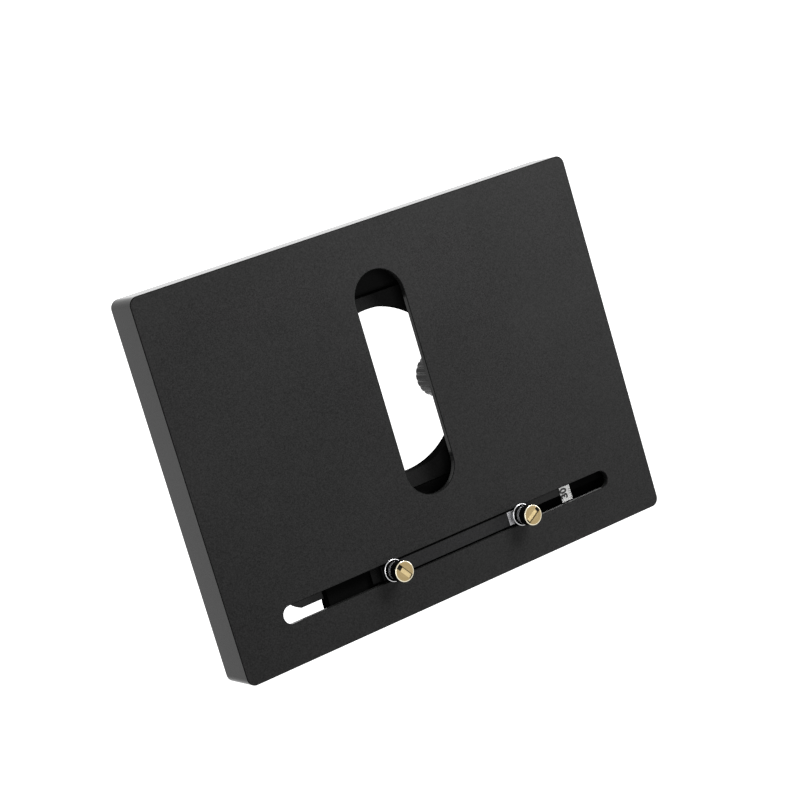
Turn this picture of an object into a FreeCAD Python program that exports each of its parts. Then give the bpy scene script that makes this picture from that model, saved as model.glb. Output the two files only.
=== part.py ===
"""Mechanical microscope stage: a double-layer stage with a low coaxial drive handle.

The lower stage is bolted to the stand. The upper stage slides on it along Y, driven by a rack and pinion.
A carriage slides along X under the long slot, pulled by a steel wire that runs over a drum and three idlers.
Millimetres. +X is along the slot, +Y is away from the slot, +Z is up.
The origin is the centre of the condenser hole, on the lower stage's mounting face.
"""

import FreeCAD, Part
import math
import os

# Top plate
plate_width = 200.0
plate_depth = 150.0
skin_thickness = 2.25
skirt_depth = 17.5
skirt_thickness = 4.0
plate_corner_radius = 3.5
plate_inner_corner_radius = 2.0
plate_edge_chamfer = 0.3
opening_edge_chamfer = 0.25

# Specimen aperture, its place from the plate's centre, and how far the plate rests from its aligned place
aperture_width = 22.3
aperture_length = 90.3
aperture_offset = 10.9
rest_offset = 2.95

# Carriage slot
slot_end_clearance = 2.15
slot_width = 7.05
slot_to_edge = 19.4

# Lower stage
base_thickness = 6.0
base_left_inset = 28.0
base_corner_radius = 4.0
base_edge_chamfer = 0.4
base_flange_reach = 8.2
base_flange_thickness = 0.9
condenser_hole_radius = 33.0
bay_height = 10.5
mount_side_margin = 18.0
mount_spacing_y = 60.0
mount_hole_radius = 2.1

# Travels and clearances
travel_back = 24.0
travel_forward = 26.0
travel_x = 39.0
end_clearance = 0.55
side_clearance = 0.3
running_clearance = 0.05
screw_clearance = 0.1
layer_clearance = 0.2
overrun = 1.0

# Ball ways along Y
way_inner_x = 37.5
way_width = 5.0
way_gap = 1.6
fixed_way_front_inset = 13.75
fixed_way_inset = 0.5
fixed_way_drop = 2.6
moving_way_back_gap = 5.8
moving_way_front_gap = 5.5
moving_way_height = 7.9
ball_radius = 1.5
ball_clearance = 0.12
groove_half_angle = 45.0
cage_length = 38.0
cage_thickness = 1.0
cage_height = 4.8
cage_ball_count = 7

# Way screws
way_screw_radius = 1.25
way_screw_head_radius = 2.0
way_screw_head_height = 1.5
way_screw_bite = 3.0
skin_screw_bite = 1.4
way_screw_inset = 8.0
way_screw_sink = 0.2

# X ways
carriage_width = 12.0
carriage_thickness = 3.5
carriage_drop = 5.0
front_way_lower_setback = 2.65
rear_way_thickness = 5.0
rear_way_screw_head_radius = 1.9
rear_way_screw_inset = 0.3
rear_ledge_reach = 7.85
rear_ledge_thickness = 0.9
rear_ledge_gap = 0.8
ledge_notch_length = 12.4
ledge_notch_margin = 1.6
ledge_notch_clearance = 0.5
ledge_end_radius = 12.2
ledge_end_setback = 5.0
tongue_reach = 0.8
tongue_height = 1.4
way_end_gap = 0.2

# Cover strip under the front way
strip_thickness = 1.5
strip_width = 12.65
strip_left_inset = 46.8
strip_corner_radius = 2.0
strip_screw_radius = 1.0
strip_screw_head_radius = 1.8
strip_screw_head_height = 0.7
strip_screw_bite = 4.0
strip_screw_shares = (0.75, 0.5, 0.5)

# Carriage, its ends measured from the plate's middle
carriage_left = 56.3
carriage_right = 38.0
bar_width = 5.8
bar_drop = 0.9
bar_left = 33.0
bar_right = 28.05
bar_edge_chamfer = 0.25
end_block_length = 4.0
end_block_drop = 3.0
ribbed_block_length = 3.4
ribbed_block_width = 5.4
rib_count = 3
rib_depth = 0.25
post_block_length = 6.4
bar_screw_radius = 1.0
bar_screw_head_radius = 1.9
bar_screw_head_height = 1.2
bar_screw_bite = 3.0

# Holder posts
left_post = 28.65
right_post = 33.7
stud_radius = 2.0
stud_foot_radius = 2.6
stud_foot_height = 1.0
washer_radius = 4.45
washer_thickness = 0.8
washer_lift = 0.35
collar_radius = 3.55
collar_height = 2.3
neck_radius = 2.9
neck_height = 0.9
knob_body_radius = 4.15
knob_body_height = 3.4
brass_head_radius = 4.05
brass_head_height = 0.8
brass_head_spigot_radius = 2.6
brass_head_spigot_height = 1.2
driver_slot_width = 2.0
driver_slot_depth = 0.5
driver_slot_rim = 0.45
left_driver_slot_angle = -53.0
right_driver_slot_angle = 30.0
stud_engagement = 0.6

# Scale plate seen through the slot
scale_inset = 40.0
scale_width = 5.3
scale_thickness = 0.5
scale_depth = 11.2

# Coaxial drive handle, its axis from the plate's right side and centre
handle_inset = 24.4
handle_back = -7.3
inner_shaft_radius = 2.0
sleeve_radius = 3.5
inner_shaft_stop = 3.0
handle_total_drop = 105.0
lower_knob_radius = 10.0
lower_knob_height = 19.0
upper_knob_radius = 14.0
upper_knob_height = 14.0
knob_gap = 0.6
knob_rib_depth = 0.4
rib_top_share = 0.74
rib_foot_share = 0.84
lower_knob_rib_count = 20
upper_knob_rib_count = 28
knob_rim_chamfer = 0.8
knob_neck_radius = 6.0
knob_neck_height = 3.0
set_screw_radius = 1.25
set_screw_length = 4.0

# Y drive: pinion on the sleeve, rack on the lower stage
gear_module = 0.7
pinion_teeth = 16
pressure_angle = 20.0
tooth_height_share = 0.8
tooth_root_share = 1.1
backlash = 0.24
flank_steps = 4
pinion_height = 4.8
pinion_drop = 0.65
rack_body = 2.4
rack_end = 15.0
rack_screw_radius = 1.0
rack_screw_head_radius = 1.7
rack_screw_head_height = 0.9
rack_screw_bite = 2.6
rack_foot_height = 2.2
rack_foot_width = 5.0
rack_screw_inset = 9.0

# X drive: drum, idlers and wire
drum_wire_radius = 5.5
drum_rim = 0.9
drum_height = 1.9
idler_wire_radius = 4.0
idler_rim = 0.8
idler_height = 1.6
idler_bore_radius = 1.3
idler_head_radius = 2.2
idler_head_height = 0.3
wire_radius = 0.3
wire_seat_clearance = 0.12
drive_run_inset = 3.1
left_idler_inset = 12.0
clamp_length = 7.0
clamp_web = 1.8
clamp_foot_height = 1.5
clamp_wing = 3.6
clamp_wing_thickness = 1.0
clamp_screw_bite = 2.0
clamp_wire_clearance = 0.3
clamp_front_gap = 0.3
clamp_foot_back = 1.4
clamp_screw_radius = 0.8
clamp_screw_head_radius = 1.2
clamp_screw_head_height = 0.8

# Handle bracket
bracket_half_width = 9.0
bracket_web_gap = 3.4
bracket_web_thickness = 7.0
arm_drop = 0.75
arm_thickness = 5.0
bracket_corner_radius = 2.0
bush_wall = 1.2
bush_flange = 1.0
bush_flange_thickness = 0.6
upper_bush_length = 6.0
bracket_screw_radius = 1.5
bracket_screw_head_radius = 2.7
bracket_screw_head_height = 2.0
bracket_screw_inset = 4.0
ring_thickness = 0.8
ring_reach = 1.2

# Levels worked out from the sizes above
base_top = base_thickness
plate_under = base_top + bay_height
plate_face = plate_under + skin_thickness
skirt_bottom = plate_face - skirt_depth
strip_top = skirt_bottom + strip_thickness
carriage_top = plate_face - carriage_drop
carriage_bottom = carriage_top - carriage_thickness
carriage_middle = (carriage_top + carriage_bottom) / 2
ledge_top = carriage_bottom - rear_ledge_gap
ledge_bottom = ledge_top - rear_ledge_thickness
bar_top = plate_face - bar_drop
fixed_way_top = plate_under - fixed_way_drop
moving_way_bottom = plate_under - moving_way_height
way_z = (fixed_way_top + moving_way_bottom) / 2
fixed_way_screw_seat = way_screw_head_height + way_screw_sink
moving_way_screw_seat = moving_way_bottom + way_screw_head_height + way_screw_sink
rear_way_screw_seat = ledge_bottom + way_screw_head_height + way_screw_sink
front_way_screw_seat = strip_top + way_screw_head_height + way_screw_sink
strip_screw_seat = skirt_bottom + strip_screw_head_height
front_way_step = carriage_bottom - side_clearance
bar_screw_seat = carriage_bottom + bar_screw_head_height

# Levels of the wire drive
idler_bottom = ledge_bottom - layer_clearance - idler_height
wire_level = idler_bottom + idler_height / 2
boss_bottom = wire_level + drum_height / 2 + side_clearance
clamp_foot_bottom = wire_level - clamp_foot_height / 2
clamp_foot_top = wire_level + clamp_foot_height / 2

# Levels of the Y drive and the handle
sleeve_top = wire_level - drum_height / 2 - side_clearance
pinion_top = sleeve_top - pinion_drop
pinion_bottom = pinion_top - pinion_height
rack_bottom = pinion_bottom - layer_clearance
rack_top = pinion_top + layer_clearance
rack_foot_top = rack_bottom + rack_foot_height
rack_screw_seat = rack_bottom + rack_screw_head_height
arm_top = -arm_drop
arm_bottom = arm_top - arm_thickness
bracket_screw_seat = arm_bottom + bracket_screw_head_height
upper_bush_top = boss_bottom + upper_bush_length
inner_shaft_top = upper_bush_top - layer_clearance
handle_bottom = plate_face - handle_total_drop
inner_shaft_bottom = handle_bottom + inner_shaft_stop
upper_knob_bottom = handle_bottom + lower_knob_height + knob_gap
sleeve_bottom = upper_knob_bottom

# Levels of the holder posts
washer_bottom = plate_face + washer_lift
collar_bottom = washer_bottom + washer_thickness
knob_neck_bottom = collar_bottom + collar_height
knob_body_bottom = knob_neck_bottom + neck_height
brass_bottom = knob_body_bottom + knob_body_height
brass_top = brass_bottom + brass_head_height
stud_top = brass_bottom - brass_head_spigot_height - side_clearance - stud_engagement

# Places across the plate
half_width = plate_width / 2
slot_length = 2 * (right_post + travel_x + slot_end_clearance) + slot_width
base_left = half_width - base_left_inset
mount_spacing_x = 2 * (base_left - mount_side_margin)
strip_left = half_width - strip_left_inset
scale_left = half_width - scale_inset
left_idler_x = half_width - left_idler_inset
inner_side = half_width - skirt_thickness
x_way_half = inner_side - plate_inner_corner_radius - way_end_gap
plate_y = rest_offset - aperture_offset
plate_front = plate_y - plate_depth / 2
plate_back = plate_y + plate_depth / 2
inner_front = plate_front + skirt_thickness
inner_back = plate_back - skirt_thickness
slot_y = plate_front + slot_to_edge
strip_back = inner_front + strip_width
base_front = strip_back + travel_forward + end_clearance
base_back = inner_back - travel_back - end_clearance
front_way_face = slot_y - carriage_width / 2 - side_clearance
strip_lower_face = front_way_face - front_way_lower_setback
front_way_screw_y = (inner_front + strip_lower_face) / 2
rear_way_face = slot_y + carriage_width / 2 + side_clearance
rear_way_back = rear_way_face + rear_way_thickness
rear_way_screw_y = rear_way_back - rear_way_screw_head_radius - rear_way_screw_inset
ledge_front = rear_way_face - rear_ledge_reach

# Places of the Y ways
fixed_way_back = base_back - fixed_way_inset
fixed_way_front = base_front + fixed_way_front_inset
fixed_way_face = way_inner_x + way_width
moving_way_face = fixed_way_face + way_gap
moving_way_front = rear_way_back + moving_way_front_gap
moving_way_back = inner_back - moving_way_back_gap
ball_x = fixed_way_face + way_gap / 2
cage_y = (fixed_way_front + fixed_way_back) / 2 - (travel_forward - travel_back) / 4
groove_depth = (ball_radius + ball_clearance) / math.sin(math.radians(groove_half_angle)) - way_gap / 2

# Places of the handle, the rack and the wire
handle_x = half_width - handle_inset
handle_y = plate_y + handle_back
pitch_radius = gear_module * pinion_teeth / 2
tooth_pitch = math.pi * gear_module
rack_line = handle_x - pitch_radius
rack_root = rack_line - gear_module * tooth_root_share
rack_back_face = rack_root - rack_body
base_right = rack_back_face
post_radius = idler_bore_radius - running_clearance
drive_run_y = ledge_front + drive_run_inset
ledge_idler_y = drive_run_y + idler_wire_radius
outer_idler_x = handle_x + drum_wire_radius - idler_wire_radius
inner_idler_x = handle_x - drum_wire_radius - idler_wire_radius
inner_idler_y = drive_run_y + 3 * idler_wire_radius
bracket_web_left = handle_x + drum_wire_radius + drum_rim + bracket_web_gap
bracket_right = bracket_web_left + bracket_web_thickness
bracket_screw_x = (bracket_web_left + bracket_right) / 2
bracket_height = plate_under - arm_bottom
clamp_screw_y = ledge_front - clamp_front_gap - clamp_wing / 2


def box(x0, x1, y0, y1, z0, z1):
    """Return a block between two corners."""
    return Part.makeBox(x1 - x0, y1 - y0, z1 - z0, FreeCAD.Vector(x0, y0, z0))


def cylinder(x, y, z0, z1, radius):
    """Return an upright cylinder."""
    return Part.makeCylinder(radius, z1 - z0, FreeCAD.Vector(x, y, z0), FreeCAD.Vector(0, 0, 1))


def ring(x, y, z0, z1, outer, inner):
    """Return an upright ring."""
    return cylinder(x, y, z0, z1, outer).cut(cylinder(x, y, z0 - overrun, z1 + overrun, inner))


def fillet_upright(shape, radius):
    """Round the upright edges of a block."""
    edges = [edge for edge in shape.Edges if is_upright(edge)]
    return shape.makeFillet(radius, edges)


def is_upright(edge):
    """Tell whether an edge is a straight upright line."""
    if not isinstance(edge.Curve, Part.Line):
        return False
    return abs(edge.tangentAt(edge.FirstParameter).z) > math.cos(math.radians(1))


def rounded_block(x0, x1, y0, y1, z0, z1, radius):
    """Return a block with rounded upright edges."""
    return fillet_upright(box(x0, x1, y0, y1, z0, z1), radius)


def chamfer_at(shape, level, size):
    """Bevel every edge that lies wholly at one level."""
    edges = [edge for edge in shape.Edges if lies_at(edge, level)]
    return shape.makeChamfer(size, edges)


def lies_at(edge, level):
    """Tell whether an edge lies at one level."""
    bound = edge.BoundBox
    tolerance = overrun / 1000
    return abs(bound.ZMin - level) < tolerance and abs(bound.ZMax - level) < tolerance


def oblong(x, y, length, width, z0, z1, along_x):
    """Return an upright cutter with round ends, along X or along Y."""
    half = (length - width) / 2
    step_x = half if along_x else 0
    step_y = 0 if along_x else half
    reach_x = half if along_x else width / 2
    reach_y = width / 2 if along_x else half
    body = box(x - reach_x, x + reach_x, y - reach_y, y + reach_y, z0, z1)
    body = body.fuse(cylinder(x - step_x, y - step_y, z0, z1, width / 2))
    body = body.fuse(cylinder(x + step_x, y + step_y, z0, z1, width / 2))
    return body.removeSplitter()


def prism(points, z0, z1):
    """Return an upright prism over an outline of plane points."""
    corners = [FreeCAD.Vector(x, y, z0) for x, y in points]
    face = Part.Face(Part.makePolygon(corners + corners[:1]))
    return face.extrude(FreeCAD.Vector(0, 0, z1 - z0))


def screw_up(x, y, seat, shank_radius, head_radius, head_height, reach):
    """Return a cap screw whose head hangs under a seat and whose shank points up."""
    head = cylinder(x, y, seat - head_height, seat, head_radius)
    return head.fuse(cylinder(x, y, seat, seat + reach, shank_radius)).removeSplitter()


def screw_hole_up(x, y, seat, shank_radius, head_radius, mouth, reach):
    """Return the cutter for a screw that points up: clearance for its shank and room for its head."""
    hole = cylinder(x, y, seat - overrun, seat + reach, shank_radius + screw_clearance)
    return hole.fuse(cylinder(x, y, mouth, seat, head_radius + screw_clearance))


def save(shape, name):
    """Write one sub-part and print its number of solids and its volume."""
    shape.exportStep(os.path.join("parts", name + ".step"))
    print(name, len(shape.Solids), round(shape.Volume, 1), shape.isValid())


def group(shapes):
    """Return several separate solids as one sub-part."""
    return Part.makeCompound(shapes)


def side_block(side, x0, x1, y0, y1, z0, z1):
    """Return a block given for the right-hand side, or its mirror image on the left for side -1."""
    return box(min(side * x0, side * x1), max(side * x0, side * x1), y0, y1, z0, z1)


def spaced(first, last, count):
    """Return evenly spaced places from the first to the last."""
    return [first + (last - first) * index / (count - 1) for index in range(count)]


# Lower stage

def fixed_way_screw_places(side):
    """Return the places of the screws that hold one fixed way."""
    x = side * (way_inner_x + way_width / 2)
    return [(x, y) for y in spaced(fixed_way_front + way_screw_inset, fixed_way_back - way_screw_inset, 3)]


def rack_screw_places():
    """Return the places of the screws that hold the rack."""
    x = rack_back_face - rack_foot_width / 2
    return [(x, y) for y in spaced(base_front + rack_screw_inset, rack_end - rack_screw_inset, 3)]


def make_base_plate():
    """Plate with the condenser hole, tapped mounting holes, seats for the ways and rack, and a thin flange
    in front and behind that closes the view through the aperture and passes under the skirt."""
    plate = rounded_block(-base_left, base_right, base_front, base_back, 0, base_top, base_corner_radius)
    plate = chamfer_at(plate, base_top, base_edge_chamfer)
    flange = rounded_block(-base_left, base_right, base_front - base_flange_reach,
                           base_back + base_flange_reach, 0, base_flange_thickness, base_corner_radius)
    plate = plate.fuse(flange)
    plate = plate.removeSplitter()
    plate = plate.cut(cylinder(0, 0, -overrun, base_top + overrun, condenser_hole_radius))
    for x in (-mount_spacing_x / 2, mount_spacing_x / 2):
        for y in (-mount_spacing_y / 2, mount_spacing_y / 2):
            plate = plate.cut(cylinder(x, y, -overrun, base_top + overrun, mount_hole_radius))
    for side in (-1, 1):
        for x, y in fixed_way_screw_places(side):
            hole = screw_hole_up(x, y, fixed_way_screw_seat, way_screw_radius, way_screw_head_radius,
                                 -overrun, base_thickness)
            plate = plate.cut(hole)
    foot_edge = rack_back_face - rack_foot_width
    rebate = box(foot_edge, base_right + overrun, base_front - overrun, rack_end, -overrun, rack_foot_top)
    plate = plate.cut(rebate)
    for x, y in rack_screw_places():
        plate = plate.cut(cylinder(x, y, rack_foot_top - overrun, rack_foot_top + rack_screw_bite,
                                   rack_screw_radius + screw_clearance))
    return plate


def v_groove(face_x, into, y0, y1):
    """Return the cutter for a ball groove that opens at face_x and deepens in the direction of into."""
    half = groove_depth * math.tan(math.radians(groove_half_angle))
    start = face_x - into * overrun
    start_half = half + overrun * math.tan(math.radians(groove_half_angle))
    apex = face_x + into * groove_depth
    corners = [FreeCAD.Vector(start, y0, way_z - start_half), FreeCAD.Vector(apex, y0, way_z),
               FreeCAD.Vector(start, y0, way_z + start_half)]
    face = Part.Face(Part.makePolygon(corners + corners[:1]))
    return face.extrude(FreeCAD.Vector(0, y1 - y0, 0))


def make_fixed_way(side):
    """Ground rail on the lower stage, with its ball groove facing outwards."""
    way = side_block(side, way_inner_x, fixed_way_face, fixed_way_front, fixed_way_back,
                     base_top, fixed_way_top)
    way = way.cut(v_groove(side * fixed_way_face, -side, fixed_way_front - overrun, fixed_way_back + overrun))
    for x, y in fixed_way_screw_places(side):
        way = way.cut(cylinder(x, y, base_top - overrun, base_top + way_screw_bite,
                               way_screw_radius + screw_clearance))
    return way


def make_fixed_way_screws():
    """Cap screws that hold the fixed ways from below."""
    reach = base_top - fixed_way_screw_seat + way_screw_bite
    return group([screw_up(x, y, fixed_way_screw_seat, way_screw_radius, way_screw_head_radius,
                           way_screw_head_height, reach)
                  for side in (-1, 1) for x, y in fixed_way_screw_places(side)])


def rack_outline():
    """Return the rack's outline, with a tooth space opposite the pinion's tooth at rest."""
    slope = math.tan(math.radians(pressure_angle))
    tip = rack_line + gear_module * tooth_height_share
    half = tooth_pitch / 4 - backlash / 4
    half_tip = half - gear_module * tooth_height_share * slope
    half_root = half + gear_module * tooth_root_share * slope
    points = [(rack_back_face, base_front), (rack_root, base_front)]
    first = math.ceil((base_front + half_root - handle_y) / tooth_pitch - 1 / 2)
    last = math.floor((rack_end - half_root - handle_y) / tooth_pitch - 1 / 2)
    for index in range(first, last + 1):
        middle = handle_y + (index + 1 / 2) * tooth_pitch
        points += [(rack_root, middle - half_root), (tip, middle - half_tip),
                   (tip, middle + half_tip), (rack_root, middle + half_root)]
    points += [(rack_root, rack_end), (rack_back_face, rack_end)]
    return points


def make_y_rack():
    """Rack on the lower stage's right-hand edge, with a foot let into the plate from below."""
    rack = prism(rack_outline(), rack_bottom, rack_top)
    foot = box(rack_back_face - rack_foot_width, rack_back_face, base_front, rack_end,
               rack_bottom, rack_foot_top)
    rack = rack.fuse(foot).removeSplitter()
    for x, y in rack_screw_places():
        rack = rack.cut(screw_hole_up(x, y, rack_screw_seat, rack_screw_radius, rack_screw_head_radius,
                                      rack_bottom - overrun, rack_foot_height + overrun))
    return rack


def make_rack_screws():
    """Small cap screws that hold the rack's foot."""
    reach = rack_foot_top - rack_screw_seat + rack_screw_bite
    return group([screw_up(x, y, rack_screw_seat, rack_screw_radius, rack_screw_head_radius,
                           rack_screw_head_height, reach) for x, y in rack_screw_places()])


# Ball cages between the ways

def ball_places():
    """Return the places of the balls along one cage."""
    margin = ball_radius * 2
    return spaced(cage_y - cage_length / 2 + margin, cage_y + cage_length / 2 - margin, cage_ball_count)


def make_cage(side):
    """Brass strip with a hole for each ball."""
    x = side * ball_x
    cage = box(x - cage_thickness / 2, x + cage_thickness / 2, cage_y - cage_length / 2,
               cage_y + cage_length / 2, way_z - cage_height / 2, way_z + cage_height / 2)
    for y in ball_places():
        hole = Part.makeCylinder(ball_radius + ball_clearance, way_gap,
                                 FreeCAD.Vector(x - way_gap / 2, y, way_z), FreeCAD.Vector(1, 0, 0))
        cage = cage.cut(hole)
    return cage


def make_balls():
    """Steel balls of both cages."""
    return group([Part.makeSphere(ball_radius, FreeCAD.Vector(side * ball_x, y, way_z))
                  for side in (-1, 1) for y in ball_places()])


# Upper stage

def moving_way_screw_places(side):
    """Return the places of the screws that hold one moving way."""
    x = side * (moving_way_face + way_width / 2)
    return [(x, y) for y in spaced(moving_way_front + way_screw_inset, moving_way_back - way_screw_inset, 4)]


def x_way_screw_xs():
    """Return the places along X of the screws that hold the X ways."""
    return spaced(-x_way_half + way_screw_inset * 2, x_way_half - way_screw_inset * 2, 4)


def bracket_screw_places():
    """Return the places of the screws that hold the handle bracket."""
    reach = bracket_half_width - bracket_screw_inset
    return [(bracket_screw_x, handle_y - reach), (bracket_screw_x, handle_y + reach)]


def make_top_plate():
    """Deep-skirted top plate with the specimen aperture and the carriage slot."""
    half = plate_width / 2
    plate = rounded_block(-half, half, plate_front, plate_back, skirt_bottom, plate_face, plate_corner_radius)
    plate = chamfer_at(plate, plate_face, plate_edge_chamfer)
    plate = plate.cut(rounded_block(-inner_side, inner_side, inner_front, inner_back,
                                    skirt_bottom - overrun, plate_under, plate_inner_corner_radius))
    plate = plate.cut(oblong(0, plate_y + aperture_offset, aperture_length, aperture_width,
                             plate_under - overrun, plate_face + overrun, False))
    slot = oblong(0, slot_y, slot_length, slot_width, plate_under - overrun, plate_face + overrun, True)
    plate = plate.cut(slot)
    edges = [edge for edge in plate.Edges if lies_at(edge, plate_face) and is_inside(edge)]
    plate = plate.makeChamfer(opening_edge_chamfer, edges)
    for x, y, radius in skin_screw_places():
        plate = plate.cut(cylinder(x, y, plate_under - overrun, plate_under + skin_screw_bite,
                                   radius + screw_clearance))
    return plate


def is_inside(edge):
    """Tell whether an edge lies inside the skirt, seen from above."""
    bound = edge.BoundBox
    across = bound.XMin > -inner_side and bound.XMax < inner_side
    return across and bound.YMin > inner_front and bound.YMax < inner_back


def skin_screw_places():
    """Return the place and shank radius of every screw that bites into the plate's underside."""
    places = [(x, y, way_screw_radius) for side in (-1, 1) for x, y in moving_way_screw_places(side)]
    places += [(x, rear_way_screw_y, way_screw_radius) for x in x_way_screw_xs()]
    places += [(x, front_way_screw_y, way_screw_radius) for x in x_way_screw_xs()]
    places += [(x, y, bracket_screw_radius) for x, y in bracket_screw_places()]
    places += [(inner_idler_x, inner_idler_y, post_radius)]
    return places


def make_moving_way(side):
    """Ground rail under the top plate, with its ball groove facing inwards."""
    way = side_block(side, moving_way_face, moving_way_face + way_width, moving_way_front, moving_way_back,
                     moving_way_bottom, plate_under)
    way = way.cut(v_groove(side * moving_way_face, side, moving_way_front - overrun,
                           moving_way_back + overrun))
    for x, y in moving_way_screw_places(side):
        way = way.cut(screw_hole_up(x, y, moving_way_screw_seat, way_screw_radius, way_screw_head_radius,
                                    moving_way_bottom - overrun, moving_way_height))
    return way


def make_moving_way_screws():
    """Cap screws that hold the moving ways."""
    reach = plate_under - moving_way_screw_seat + skin_screw_bite
    return group([screw_up(x, y, moving_way_screw_seat, way_screw_radius, way_screw_head_radius,
                           way_screw_head_height, reach)
                  for side in (-1, 1) for x, y in moving_way_screw_places(side)])


def tongue_groove(y0, y1):
    """Return the cutter for the groove that holds a tongue of the carriage."""
    half = tongue_height / 2 + side_clearance
    reach = x_way_half + overrun
    return box(-reach, reach, y0, y1, carriage_middle - half, carriage_middle + half)


def make_front_way():
    """X way along the skirt's front wall; it also carries the cover strip."""
    way = box(-x_way_half, x_way_half, inner_front, front_way_face, front_way_step, plate_under)
    way = way.fuse(box(-x_way_half, x_way_half, inner_front, strip_lower_face, strip_top, front_way_step))
    way = way.removeSplitter()
    way = way.cut(tongue_groove(front_way_face - tongue_reach, front_way_face + overrun))
    for x in x_way_screw_xs():
        way = way.cut(screw_hole_up(x, front_way_screw_y, front_way_screw_seat, way_screw_radius,
                                    way_screw_head_radius, strip_top - overrun, bay_height + base_thickness))
    for x in strip_screw_xs():
        way = way.cut(cylinder(x, front_way_screw_y, strip_top - overrun, strip_top + strip_screw_bite,
                               strip_screw_radius + screw_clearance))
    return way


def ledge_notch():
    """Return the cutter that opens the ledge at the slot's left end, up to the ledge's round end."""
    start = ledge_notch_length - slot_length / 2
    end = -slot_length / 2 - ledge_notch_margin
    back = slot_y + slot_width / 2 + ledge_notch_clearance
    notch = box(end, start, ledge_front - overrun, back, ledge_bottom - overrun, ledge_top + overrun)
    middle_y = ledge_front + math.sqrt(ledge_end_radius ** 2 - ledge_end_setback ** 2)
    return notch.cut(cylinder(start + ledge_end_setback, middle_y, ledge_bottom - overrun,
                              ledge_top + overrun, ledge_end_radius))


def make_rear_way():
    """X way behind the slot, with a thin ledge that runs forward under the carriage.

    The ledge is open at the slot's left end."""
    way = box(-x_way_half, x_way_half, rear_way_face, rear_way_back, ledge_bottom, plate_under)
    way = way.fuse(box(-x_way_half, x_way_half, ledge_front, rear_way_back, ledge_bottom, ledge_top))
    way = way.removeSplitter().cut(ledge_notch())
    way = way.cut(tongue_groove(rear_way_face - overrun, rear_way_face + tongue_reach))
    for x in x_way_screw_xs():
        way = way.cut(screw_hole_up(x, rear_way_screw_y, rear_way_screw_seat, way_screw_radius,
                                    rear_way_screw_head_radius, ledge_bottom - overrun, bay_height))
    for x, y in ((-left_idler_x, ledge_idler_y), (outer_idler_x, ledge_idler_y)):
        way = way.cut(cylinder(x, y, ledge_bottom - overrun, ledge_top + overrun, post_radius))
    return way


def make_x_way_screws():
    """Cap screws that hold both X ways."""
    rear = plate_under - rear_way_screw_seat + skin_screw_bite
    front = plate_under - front_way_screw_seat + skin_screw_bite
    screws = [screw_up(x, rear_way_screw_y, rear_way_screw_seat, way_screw_radius, rear_way_screw_head_radius,
                       way_screw_head_height, rear) for x in x_way_screw_xs()]
    screws += [screw_up(x, front_way_screw_y, front_way_screw_seat, way_screw_radius, way_screw_head_radius,
                        way_screw_head_height, front) for x in x_way_screw_xs()]
    return group(screws)


def strip_screw_xs():
    """Return the places along X of the cover strip's screws."""
    ways = x_way_screw_xs()
    places = [before + (after - before) * share
              for before, after, share in zip(ways, ways[1:], strip_screw_shares)]
    return places + [x_way_half - way_screw_inset]


def make_cover_strip():
    """Thin strip that closes the underside in front of the lower stage, open at its left end."""
    strip = rounded_block(-strip_left, x_way_half, inner_front, strip_back, skirt_bottom, strip_top,
                          strip_corner_radius)
    for x in strip_screw_xs():
        strip = strip.cut(screw_hole_up(x, front_way_screw_y, strip_screw_seat, strip_screw_radius,
                                        strip_screw_head_radius, skirt_bottom - overrun, strip_thickness))
    return strip


def make_strip_screws():
    """Screws that hold the cover strip."""
    reach = strip_top - strip_screw_seat + strip_screw_bite
    return group([screw_up(x, front_way_screw_y, strip_screw_seat, strip_screw_radius,
                           strip_screw_head_radius, strip_screw_head_height, reach)
                  for x in strip_screw_xs()])


def make_scale_plate():
    """White plate with a short scale, lying on the ledge and seen through the slot."""
    return box(scale_left, scale_left + scale_width, rear_way_face - scale_depth, rear_way_face, ledge_top,
               ledge_top + scale_thickness)


def make_handle_bracket():
    """Bracket that carries the coaxial handle above and below the drum and the pinion."""
    front = handle_y - bracket_half_width
    back = handle_y + bracket_half_width
    left = handle_x - bracket_half_width
    boss = rounded_block(left, bracket_right, front, back, boss_bottom, plate_under, bracket_corner_radius)
    web = rounded_block(bracket_web_left, bracket_right, front, back, arm_bottom, plate_under,
                        bracket_corner_radius)
    arm = rounded_block(left, bracket_right, front, back, arm_bottom, arm_top, bracket_corner_radius)
    bracket = boss.fuse(web).fuse(arm).removeSplitter()
    upper_outer = inner_shaft_radius + running_clearance + bush_wall
    lower_outer = sleeve_radius + running_clearance + bush_wall
    bracket = bracket.cut(cylinder(handle_x, handle_y, boss_bottom - overrun, upper_bush_top, upper_outer))
    bracket = bracket.cut(cylinder(handle_x, handle_y, arm_bottom - overrun, arm_top + overrun, lower_outer))
    for x, y in bracket_screw_places():
        bracket = bracket.cut(screw_hole_up(x, y, bracket_screw_seat, bracket_screw_radius,
                                            bracket_screw_head_radius, arm_bottom - overrun, bracket_height))
    return bracket


def make_bracket_screws():
    """Long screws that hold the handle bracket to the plate."""
    reach = plate_under - bracket_screw_seat + skin_screw_bite
    return group([screw_up(x, y, bracket_screw_seat, bracket_screw_radius, bracket_screw_head_radius,
                           bracket_screw_head_height, reach) for x, y in bracket_screw_places()])


def make_upper_bush():
    """Bronze bush for the inner shaft, in the bracket's blind bore."""
    bore = inner_shaft_radius + running_clearance
    return ring(handle_x, handle_y, boss_bottom, upper_bush_top, bore + bush_wall, bore)


def make_lower_bush():
    """Flanged bronze bush for the sleeve, in the bracket's arm."""
    bore = sleeve_radius + running_clearance
    bush = ring(handle_x, handle_y, arm_bottom, arm_top, bore + bush_wall, bore)
    flange = ring(handle_x, handle_y, arm_top, arm_top + bush_flange_thickness,
                  bore + bush_wall + bush_flange, bore)
    return bush.fuse(flange).removeSplitter()


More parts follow.
